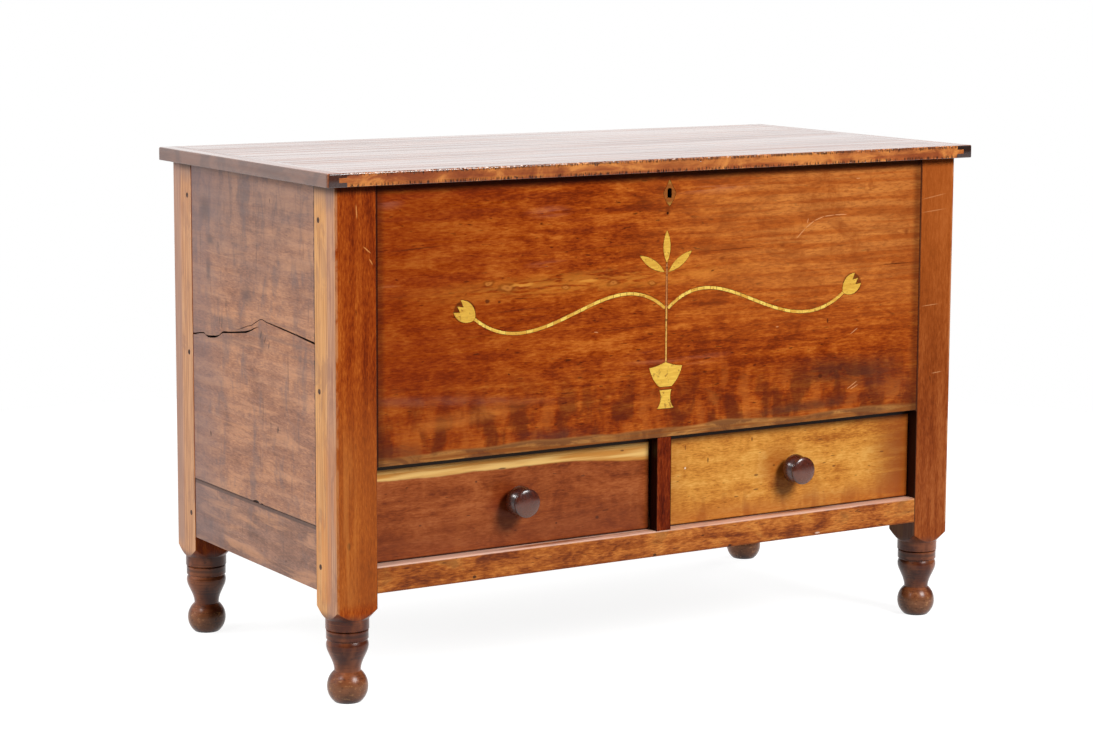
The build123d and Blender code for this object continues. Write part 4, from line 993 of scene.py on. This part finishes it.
def lid_finish(name, grain, start):
    """Polished cherry, rubbed through in streaks where the polish has gone."""
    board = cherry(
        name, grain, ((106, 44, 20), (138, 68, 32), (162, 88, 46), (184, 112, 68)), start,
        figure=1.1, mottle=0.7, flecks=0.4, roughness=0.3, specular=0.5, run=1.4)
    feed(board.shader.inputs["Coat Weight"], board.slide("streaks", 0.36, 0.56, 0.46, 0.94))
    from_joint = board.distance(board.math("ABSOLUTE", "x"), end_joint)
    board.stain(joint_dirt, 0.85, ("z", lid_top - 0.0025, lid_top - 0.0005), (from_joint, 0.0014, 0.0005))
    return board


def thin_coat(board, mask):
    """Keeps the clear coat only where mask is 1."""
    coat = board.shader.inputs["Coat Weight"]
    feed(coat, board.math("MULTIPLY", mask, coat.links[0].from_socket))


def seam_dirt(board):
    """Dirt in the long joint of the lid."""
    from_seam = board.distance("y", seam)
    board.stain(joint_dirt, 0.9, (from_seam, 0.0024, 0.001))
    thin_coat(board, board.slide(from_seam, 0.001, 0.003))


def end_grain(board):
    """A breadboard's short ends, dark, with a greyer lower half."""
    lid_middle, half_depth = 0.003, 0.2802
    short_end = board.slide(board.distance("y", lid_middle), half_depth - 0.001, half_depth)
    board.stain(board.two_tone((28, 13, 9), (70, 34, 22), "clouds"), 0.96, short_end)
    board.stain((92, 84, 84), 0.6, short_end, ("z", lid_top - 0.0075, lid_top - 0.0145))


print("the lid's long joint lies at", round(seam, 4), "m and its ends' joints at", round(end_joint, 4), "m")

# %% [markdown]
# ## Nicks along the lid's front edge
#
# The front edge of the lid has been knocked by everything that was ever set down on it. Small
# upright nicks crowd near its upper and lower arris. One nick is a thin squashed ball;
# copies of it, each with its own mesh, height and depth, are strewn along the edge by a seeded
# random generator and cut away together.

# %% Cut the nicks
lid_front_y = face_of("lid_board_front", "Y")[1]
knocks = random.Random(18)
first_nick = scoop("nick_first", (0.0, 0.0, 0.0), (0.0007, 0.0011, 0.0024))


def strewn(name, place, size):
    """A copy of the first nick, with its own mesh, at its own place and size."""
    knock = bpy.data.objects.new(name, first_nick.data.copy())
    scene.collection.objects.link(knock)
    knock.matrix_world = Matrix.LocRotScale(Vector(place), None, Vector(size))
    return knock


nicks = []
while len(nicks) < 84:
    crowd = knocks.choice((-0.33, -0.2, 0.1, 0.36))
    x = knocks.gauss(crowd, 0.13)
    if abs(x) > 0.52:
        continue
    z = knocks.choice((0.7425, 0.7425, 0.7405, 0.728, 0.7265))
    size = (knocks.uniform(0.6, 1.6), knocks.uniform(0.6, 1.2), knocks.uniform(0.5, 1.3))
    nicks.append(strewn(f"nick_{len(nicks)}", (x, lid_front_y, z + knocks.uniform(-0.0008, 0.0008)), size))
for count in range(22):
    size = (knocks.uniform(1.6, 4.2), knocks.uniform(1.4, 2.2), knocks.uniform(0.5, 0.8))
    x = knocks.uniform(-0.5, 0.1) if count < 15 else knocks.uniform(0.1, 0.5)
    nicks.append(strewn(f"arris_chip_{count}", (x, lid_front_y + 0.0012, 0.7438), size))
bpy.data.objects.remove(first_nick)
lid_front_worn = copy_of("lid_board_front", "lid_board_front_worn")
cut_away(lid_front_worn, nicks)
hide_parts("lid_board_front")
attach(lid_front_worn, "lid")
print("nicks cut:", len(nicks))

# %% [markdown]
# ## Finish the lid
#
# The front face of the lid is blotchier and redder than the top. Behind that face a nick's
# wall is dark, except along the upper arris, where fresh chips show pale wood. The left
# breadboard's long edge is a dull grey-brown that has lost most of its polish.

# %% Finish the lid's front board
lid_front = lid_finish("lid_front_cherry", "X", (1.7, 5.0, 2.0))
on_front = lid_front.slide("y", lid_front_y + 0.003, lid_front_y + 0.0007)
lid_front.stain(lid_front.two_tone((184, 94, 36), (220, 132, 62)), 0.62, on_front)
lid_front.stain((118, 44, 14), 0.65, on_front, ("clouds", 0.5, 0.66))
lid_front.stain((232, 148, 72), 0.8, on_front, ("clouds", 0.54, 0.38))
knock_marks = lid_front.noise((420, 300, 70), 2.0, 0.6)
near_arris = lid_front.slide(lid_front.distance("z", lid_top - 0.0097), 0.0035, 0.0075)
lid_front.stain((46, 17, 6), 0.85, on_front, near_arris, (knock_marks, 0.5, 0.57))
lid_front.stain((62, 22, 8), 0.6, on_front, ("z", lid_top - 0.0043, lid_top - 0.0021), ("curl", 0.42, 0.56))
pale_chips = lid_front.noise((200, 120, 300), 2.0, 0.6, start=(4, 1, 1))
more_to_left = lid_front.math("ADD", pale_chips, lid_front.slide("x", 0.15, -0.35, 0.0, 0.07))
upper_arris = lid_front.where(
    ("z", lid_top - 0.0027, lid_top - 0.0013), ("y", lid_front_y + 0.004, lid_front_y + 0.002))
lid_front.stain((240, 214, 200), 0.85, upper_arris, (more_to_left, 0.62, 0.66))
nick_wall = lid_front.where(
    ("y", lid_front_y + 0.0002, lid_front_y + 0.0006), ("y", lid_front_y + 0.0035, lid_front_y + 0.003))
lid_front.stain((44, 16, 6), 0.85, nick_wall, ("z", lid_top - 0.0023, lid_top - 0.0031))
seam_dirt(lid_front)
lid_front.done(lid_front_worn)
print("the lid's front board has", len(lid_front.tree.nodes), "nodes")

# %% [markdown]
# ## The rest of the lid
#
# The back board is plain polished cherry with the other side of the dirty seam. The two
# breadboards share the dark end grain, and only the left one shows its long edge.

# %% Finish the lid's other boards
lid_back = lid_finish("lid_back_cherry", "X", (6.7, 1.0, 4.0))
seam_dirt(lid_back)
lid_back.done("lid_board_back")
lid_left = lid_finish("lid_end_left_cherry", "Y", (3.7, 8.0, 4.0))
lid_left_x = face_of("lid_end_left", "X")[1]
left_edge = lid_left.slide("x", lid_left_x + 0.0017, lid_left_x + 0.0007)
lid_left.stain(lid_left.two_tone((98, 72, 64), (122, 88, 74), "clouds"), 0.94, left_edge)
lid_left.stain((96, 70, 64), 0.6, left_edge, ("streaks", 0.58, 0.66))
thin_coat(lid_left, lid_left.slide(left_edge, 0.0, 1.0, 1.0, 0.3))
end_grain(lid_left)
lid_left.done("lid_end_left")
lid_right = lid_finish("lid_end_right_cherry", "Y", (0.7, 3.0, 9.0))
end_grain(lid_right)
lid_right.done("lid_end_right")
print("lid boards finished:", sum(name.startswith(("lid_board", "lid_end")) for name in nodes))

# %% [markdown]
# ## The drawer fronts
#
# The two fronts come from different boards. The left one is dark red-brown with a
# strip of pale sapwood along its top; the right one is nearly all golden sapwood, darker
# towards its ends, with dark gum flecks. Years of fingers have darkened the wood round each
# knob. The upper arris of both is painted black, as painted shade of the gap and the front
# board's shadow above it; painted shade also darkens their lower arris and their ends by the divider.

# %% Finish the left drawer's front
drawer_y = drawer_front[1]
drawer_low, drawer_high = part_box("drawer_left_front")
lower_arris = ("z", drawer_low.z + 0.0033, drawer_low.z + 0.0013)
sap_height = 0.3015


def gap_shade(board):
    """Painted shade, black, along the upper arris of a drawer front: the gap and the front board's shadow."""
    upper_arris = ("z", drawer_high.z - 0.006, drawer_high.z - 0.0046)
    board.stain((14, 5, 3), 0.96, upper_arris, ("y", drawer_y + 0.001, drawer_y + 0.0003))


drawer_left = cherry(
    "drawer_left_cherry", "X", ((104, 40, 8), (138, 62, 20), (160, 80, 34), (182, 102, 54)), (2.4, 1.0, 9.5),
    figure=0.7, mottle=1.5, flecks=0.8)
drawer_left.stain((116, 52, 22), 0.45, ("z", 0.27, 0.2))
drawer_left.stain((178, 100, 46), 0.12, ("curl", 0.56, 0.7))
sap_wave = drawer_left.noise((7, 0, 0), 4.0, start=(1, 0, 0))
wavy_height = drawer_left.math("MULTIPLY_ADD", sap_wave, 0.012, sap_height)
sap_edge = drawer_left.math("ADD", wavy_height, drawer_left.slide("x", -0.16, -0.01, 0.0, -0.01))
sap = drawer_left.slide(drawer_left.math("SUBTRACT", "z", sap_edge), -0.0005, 0.0032)
drawer_left.stain(drawer_left.two_tone((208, 142, 64), (242, 196, 118)), 0.95, sap)
drawer_left.stain((166, 100, 48), 0.6, sap, ("clouds", 0.56, 0.7))
drawer_left.specks(drawer_front, ((-0.253, 0.262, 50, 36),), (112, 30, 10), 0.55, soft=0.3)
drawer_left.specks(drawer_front, (
    (-0.309, 0.294, 2.5, 2), (-0.266, 0.309, 8, 1.6), (-0.105, 0.221, 4, 3), (-0.175, 0.22, 2, 2),
    (-0.062, 0.316, 4, 1.6), (-0.4, 0.24, 3, 1.5), (-0.13, 0.285, 5, 1.3),
), (74, 34, 18), 0.75)
# Painted shade along the lower arris, in the crevice above the rail.
drawer_left.stain((44, 14, 6), 0.9, lower_arris)
# Painted shade at the right end, beside the divider.
drawer_left.stain((50, 18, 8), 0.85, ("x", drawer_high.x - 0.0028, drawer_high.x - 0.001))
gap_shade(drawer_left)
drawer_left.done("drawer_left_front")
print("the left drawer front's sapwood is", round(1000 * (drawer_high.z - sap_height)), "mm high")

# %% [markdown]
# ## The right drawer's front
#
# The same maker with golden tones gives the sapwood board. Four broad masks darken it
# towards its top, its right end, its left end and its foot, each letting the streaks show.
# The small marks come last, as before.

# %% Finish the right drawer's front
drawer_right = cherry(
    "drawer_right_cherry", "X", ((160, 84, 22), (208, 134, 48), (228, 160, 70), (238, 182, 96)),
    (7.4, 3.0, 2.5), figure=0.65, ripple=0.24, flecks=0.8)
dark_sap = (150, 76, 22)
for axis, low, high, strength in (
    ("z", 0.305, 0.332, 0.5), ("x", 0.37, 0.46, 0.9), ("x", 0.06, 0.013, 0.4), ("z", 0.225, 0.2, 0.45),
):
    drawer_right.stain(dark_sap, strength, (axis, low, high), ("streaks", 0.3, 0.6, 0.5, 1.0))
drawer_right.stain(dark_sap, 0.6, ("z", 0.25, 0.2), ("curl", 0.48, 0.64))
drawer_right.specks(drawer_front, ((0.22, 0.266, 52, 50),), (158, 68, 16), 0.62, soft=0.1)
drawer_right.stain((140, 56, 12), 0.45, ("x", 0.4, 0.465))
drawer_right.stain((176, 90, 28), 0.3, ("z", 0.25, 0.2))
drawer_right.specks(drawer_front, (
    (0.091, 0.2875, 1.8, 5), (0.1715, 0.312, 2, 4), (0.18, 0.256, 5, 2), (0.327, 0.256, 4, 2),
    (0.213, 0.268, 3, 2), (0.18, 0.234, 6, 1.5), (0.05, 0.31, 1.2, 5), (0.3, 0.3, 6, 1.5), (0.42, 0.27, 5, 1.5),
), (104, 50, 16), 0.75)
drawer_right.specks(drawer_front, ((0.05, 0.279, 2, 2),), (244, 226, 196), 0.9)
# Painted shade along the lower arris, in the crevice above the rail.
drawer_right.stain((60, 22, 8), 0.9, lower_arris)
# Painted shade at the left end, beside the divider.
drawer_right.stain((120, 58, 20), 0.6, ("x", 0.016, 0.0148))
gap_shade(drawer_right)
drawer_right.done("drawer_right_front")
print("drawer fronts finished")

# %% [markdown]
# ## The knobs
#
# A knob is turned on a lathe: a tenon that goes through the drawer front, a narrow neck, a
# full round body, a cut groove, and a domed face with a rolled rim. Gloss shows every flat spot
# on such a shape, so we turn new knobs with more rings than the solid ones have. It is done
# as a turner would say it: start with the round end of the tenon, and step by step move on
# along the axis and change the radius. In edit mode that is extrude and resize.

# %% Turn the knobs
knob_length = 0.04
knob_stations = (  # radius and distance from the drawer's face, both in millimetres
    (6.0, 0.0), (11.6, 0.02), (11.8, 0.4), (11.2, 1.1), (10.5, 2.0), (10.1, 3.0), (10.2, 4.0),
    (11.2, 5.0), (13.4, 6.2), (16.4, 7.6), (19.2, 9.2), (21.1, 11.0), (22.1, 12.8), (22.35, 14.6),
    (22.1, 16.6), (21.4, 18.8), (20.4, 21.0), (19.2, 23.2), (17.8, 25.4), (16.5, 27.4), (15.6, 29.0),
    (15.2, 30.2), (15.4, 31.2), (16.6, 31.8), (18.6, 32.2), (20.0, 32.6), (20.8, 33.4), (21.0, 34.4),
    (20.9, 35.2), (20.5, 36.0), (19.8, 36.7), (18.6, 37.4), (16.6, 38.1), (13.6, 38.8), (10.0, 39.4),
    (6.0, 39.8), (3.0, 39.95), (1.0, 40.0),
)


def turned_knob(node):
    """A knob turned on the axis and within the length of the solid one."""
    low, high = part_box(node)
    axis_x, axis_z = (low[0] + high[0]) / 2, (low[2] + high[2]) / 2
    radius, y = knob_stations[0][0], high[1]
    piece = start_piece(
        node + "_turned", bpy.ops.mesh.primitive_circle_add, vertices=72, radius=radius / 1000,
        fill_type="NGON", location=(axis_x, y, axis_z), rotation=(math.pi / 2, 0, 0))
    for next_radius, out in knob_stations:
        next_y = low[1] + knob_length - out / 1000
        bpy.ops.mesh.extrude_region_move(TRANSFORM_OT_translate={"value": (0.0, next_y - y, 0.0)})
        size = next_radius / radius
        bpy.ops.transform.resize(value=(size, 1.0, size), center_override=(axis_x, next_y, axis_z))
        radius, y = next_radius, next_y
    bpy.ops.mesh.merge(type="CENTER")
    close_piece()
    bpy.ops.object.shade_smooth_by_angle(angle=math.radians(40))
    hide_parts(node)
    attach(piece, node.replace("_knob", ""))
    print(piece.name, "has", len(piece.data.polygons), "faces")
    return piece


knobs = [turned_knob("drawer_left_knob"), turned_knob("drawer_right_knob")]

# %% [markdown]
# ## Finish the knobs
#
# The knobs were stained dark and handled to a gloss, the shiniest things on the chest. A
# half-strong clear coat over a strong base reflection does that. On the domed face, where
# fingers have worn polish and stain thin, the coat is weaker, and the lower half is painted
# paler as a painted reflection of the floor. The groove is painted nearly black.

# %% Finish the knobs
knob = cherry(
    "knob_cherry", "Y", ((40, 12, 6), (58, 18, 10), (78, 28, 14), (104, 46, 26)), (2, 4, 6),
    bands=5, figure=0.6, flecks=0.2, roughness=0.25, specular=0.6, coat_blur=0.2)
knob.stain((110, 46, 28), 0.4, ("clouds", 0.52, 0.7))
on_face = knob.slide("y", drawer_y - 0.036, drawer_y - 0.0375)
# The face's lower half painted paler: a painted reflection of the floor.
knob.stain((128, 72, 42), 0.5, on_face, ("z", 0.276, 0.242))
feed(knob.shader.inputs["Coat Weight"], knob.slide(on_face, 0.0, 1.0, 0.55, 0.2))
# The groove is painted nearly black.
groove_y = drawer_y - 0.0302
knob.stain((10, 4, 2), 0.95, (knob.distance("y", groove_y), 0.0021, 0.0014))
knob.done(*knobs)
print("knobs finished:", len(knobs))

# %% [markdown]
# ## The inlay
#
# The pale inlay is holly, now butter-yellow under old varnish. Each piece has a fine grain
# and a little dirt. The vine is made of many short pieces in one groove: a random tone for
# each length of it, and a thin dark joint between lengths, show them from far off.


# %% Finish the inlay
def inlay_finish(name, start, tones, segment=None):
    """Pale inlay wood; with a segment length, each short piece has its own tone and a dark joint."""
    holly = Finish(name, 0.36, specular=0.25)
    grain = holly.noise((60, 60, 420), 3.0, 0.6, start=start)
    tone = holly.math("MULTIPLY_ADD", grain, 0.7, 0.15)
    if segment:
        length = holly.math("DIVIDE", "x", segment)
        which = {"W": holly.math("FLOOR", length)}
        lot = holly.node("ShaderNodeTexWhiteNoise", which, noise_dimensions="1D").outputs["Value"]
        tone = holly.math("ADD", tone, holly.math("MULTIPLY_ADD", lot, 0.4, -0.16))
    holly.colour = holly.two_tone(*tones, tone, 0.2, 0.8)
    if segment:
        joint = holly.distance(holly.math("FRACT", length), 0.5)
        holly.stain((112, 62, 22), 0.75, (joint, 0.43, 0.48), (lot, 0.25, 0.5))
    dirt = holly.noise((140, 140, 140), 3.0, 0.6, start=start)
    holly.stain((156, 92, 34), 0.7, (dirt, 0.58, 0.7))
    holly.bump(grain, 0.1, 0.0003)
    return holly


vine = inlay_finish("vine_holly", (1, 2, 3), ((217, 154, 52), (253, 217, 104)), segment=0.0113)
vine.done("inlay_vine_left", "inlay_vine_right")
flowers = inlay_finish("flower_holly", (4, 2, 3), ((203, 143, 46), (248, 203, 84)))
flowers.done("inlay_tulip_left", "inlay_tulip_right", "inlay_leaves")
urn = inlay_finish("urn_holly", (4, 7, 3), ((220, 164, 56), (252, 211, 92)))
urn.done("inlay_urn_bowl", "inlay_urn_foot")
stem = inlay_finish("stem_holly", (4, 7, 9), ((206, 140, 62), (240, 190, 100)))
stem.stain((176, 96, 60), 0.75, ("z", 0.522, 0.528))
stem.stain((92, 42, 14), 0.7, (stem.noise((0, 0, 210), 1.0), 0.56, 0.62))
stem.done("inlay_stem")
plate = inlay_finish("escutcheon_holly", (5, 7, 9), ((132, 66, 20), (166, 96, 36)))
low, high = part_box("keyhole_escutcheon")
plate.stain((178, 132, 56), 0.7, (plate.distance("z", (low.z + high.z) / 2), 0.011, 0.017))
plate.done("keyhole_escutcheon")
print("inlay finished:", sum(name.startswith("inlay") for name in nodes), "pieces")

# %% [markdown]
# ## Inside and behind
#
# What isn't seen when the chest is shut was made of cheaper poplar and never varnished:
# the bin's floor and partition, the back, the runners and the drawers' boxes. The same wood
# maker serves, with poplar's duller greenish tan and a rough surface.

# %% Finish the poplar
poplar_tones = ((138, 98, 62), (166, 125, 84), (188, 148, 104), (206, 170, 124))
poplar_pieces = {
    "X": (
        "bin_floor_front", "bin_floor_back", "back_board_upper", "back_board_lower",
        "drawer_left_back", "drawer_right_back", "drawer_left_bottom", "drawer_right_bottom"),
    "Y": (
        "bin_partition", "drawer_runner_left", "drawer_runner_right", "drawer_runner_centre",
        "drawer_left_side_left", "drawer_left_side_right",
        "drawer_right_side_left", "drawer_right_side_right"),
}
for grain, names in poplar_pieces.items():
    for count, name in enumerate(names):
        board = cherry(
            name + "_poplar", grain, poplar_tones, (count * 1.7, count * 2.3, count),
            bands=7, figure=1.3, mottle=0.35, ripple=0.0, flecks=0.2, roughness=0.6, specular=0.3)
        saw_marks = board.noise(stretch(grain, 190.0, 9.0), start=(count, 0, 0))
        board.stain((118, 88, 56), 0.14, (saw_marks, 0.56, 0.74))
        grime = board.noise((5, 5, 5), 4.0, 0.6, start=(count, 3, 1))
        board.stain((104, 76, 52), 0.4, (grime, 0.5, 0.7))
        board.bump(saw_marks, 0.2, 0.001)
        board.done(name)
print("poplar pieces:", sum(len(names) for names in poplar_pieces.values()))

# %% [markdown]
# ## Iron
#
# Lock and hinges are forged and filed iron, dark, with rust in the hollows. A metallic
# shader with two sizes of noise gives the hammered tone, and the same noise roughens it.

# %% Finish the lock and hinges
iron = Finish("filed_iron", 0.5, metallic=0.9)
forged = iron.noise((260, 260, 260), 4.0, 0.6)
iron.colour = iron.two_tone((64, 59, 56), (96, 88, 82), forged, 0.35, 0.7)
iron.stain((104, 64, 42), 0.5, (iron.noise((60, 60, 60), 4.0, 0.6), 0.54, 0.7))
feed(iron.shader.inputs["Roughness"], iron.slide(forged, 0.3, 0.7, 0.62, 0.4))
iron.bump(forged, 0.25, 0.0004)
hinge_pieces = [name for name in nodes if name.startswith("hinge") and "screws" not in name]
iron.done("lock_plate", "lock_case", "lock_bolt", "lock_staple", *hinge_pieces)
print("iron pieces finished:", 4 + len(hinge_pieces))

# %% [markdown]
# ## Slots in the screws
#
# Every screw has a slot, filed by hand and so never quite in the middle. The solid screws
# have plain heads. We copy each group, find every screw in it as a loose part, and
# cut a narrow bar out of each head at its own angle. The bar is a cube, scaled thin in edit
# mode, with its long edges bevelled as a file leaves them.


# %% Cut the slots
def loose_parts(piece):
    """The lowest and highest corner of each separate screw in a piece."""
    choose_only(piece)
    bpy.ops.object.duplicate()
    bpy.ops.mesh.separate(type="LOOSE")
    corners = []
    for part in list(bpy.context.selected_objects):
        places = [vertex.co for vertex in part.data.vertices]
        by_axis = list(zip(*places))
        corners.append((Vector([min(along) for along in by_axis]), Vector([max(along) for along in by_axis])))
        bpy.data.objects.remove(part)
    return corners


def slot_bar(name, head, axis, turn):
    """A thin bar across a screw's head; axis is the way the screw's head looks."""
    bar = start_piece(name, bpy.ops.mesh.primitive_cube_add, size=1.0, location=head)
    long, wide, deep = 0.009, 0.001, 0.0022
    thin = (long, wide, deep) if axis == "Z" else (long, deep, wide)
    bpy.ops.transform.resize(value=thin, center_override=head)
    bpy.ops.mesh.bevel(offset=0.00012, segments=1)
    bpy.ops.transform.rotate(value=turn, orient_axis=axis, center_override=head)
    close_piece()
    return bar


filing = random.Random(5)
slotted = []
for group, axis, side, body in (
    ("hinge_case_screws", "Z", 1, "carcass"), ("hinge_lid_screws", "Z", -1, "lid"),
    ("staple_screws", "Z", -1, "lid"), ("lock_screws", "Y", 1, "carcass"),
):
    piece = copy_of(group, group + "_slotted")
    bars = []
    for count, (low, high) in enumerate(loose_parts(piece)):
        head = (low + high) / 2
        way = "XYZ".index(axis)
        head[way] = high[way] if side > 0 else low[way]
        bars.append(slot_bar(f"{group}_bar_{count}", head, axis, filing.uniform(0, math.pi)))
    cut_away(piece, bars)
    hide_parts(group)
    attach(piece, body)
    slotted.append(piece)

screw = Finish("screw_iron", 0.4, metallic=0.9)
filed = screw.noise((900, 120, 400), 3.0)
screw.colour = screw.two_tone((104, 97, 90), (156, 146, 136), filed, 0.3, 0.7)
screw.bump(filed, 0.2, 0.0002)
screw.done(*slotted)
print("screw groups slotted:", len(slotted))

# %% [markdown]
# ## The floor
#
# The chest stands on a plain pale floor that fades into the white behind it. The floor has a
# grey of its own, so the chest leaves a soft shadow, and glows a little for the camera
# and for polished faces only, so that no extra light reaches the wood.

# %% Lay the floor
bpy.ops.object.select_all(action="DESELECT")
bpy.ops.mesh.primitive_circle_add(vertices=96, radius=2.3, fill_type="NGON", location=(0, 0, 0))
floor = bpy.context.object
floor.name = "studio_floor"
floor_paint = bpy.data.materials.new("studio_floor_paint")
floor_paint.use_nodes = True
floor_tree = floor_paint.node_tree
floor_ray = step(floor_tree, "ShaderNodeLightPath").outputs
floor_seen = reckon(floor_tree, "MAXIMUM", floor_ray["Is Camera Ray"], floor_ray["Is Glossy Ray"])
for name, value in (
    ("Base Color", (0.24, 0.24, 0.24, 1.0)),
    ("Roughness", 0.9),
    ("Specular IOR Level", 0.0),
    ("Emission Color", (1.0, 1.0, 1.0, 1.0)),
    ("Emission Strength", reckon(floor_tree, "MULTIPLY", floor_seen, 0.89)),
):
    feed(floor_tree.nodes["Principled BSDF"].inputs[name], value)
floor.data.materials.append(floor_paint)
print("floor laid")
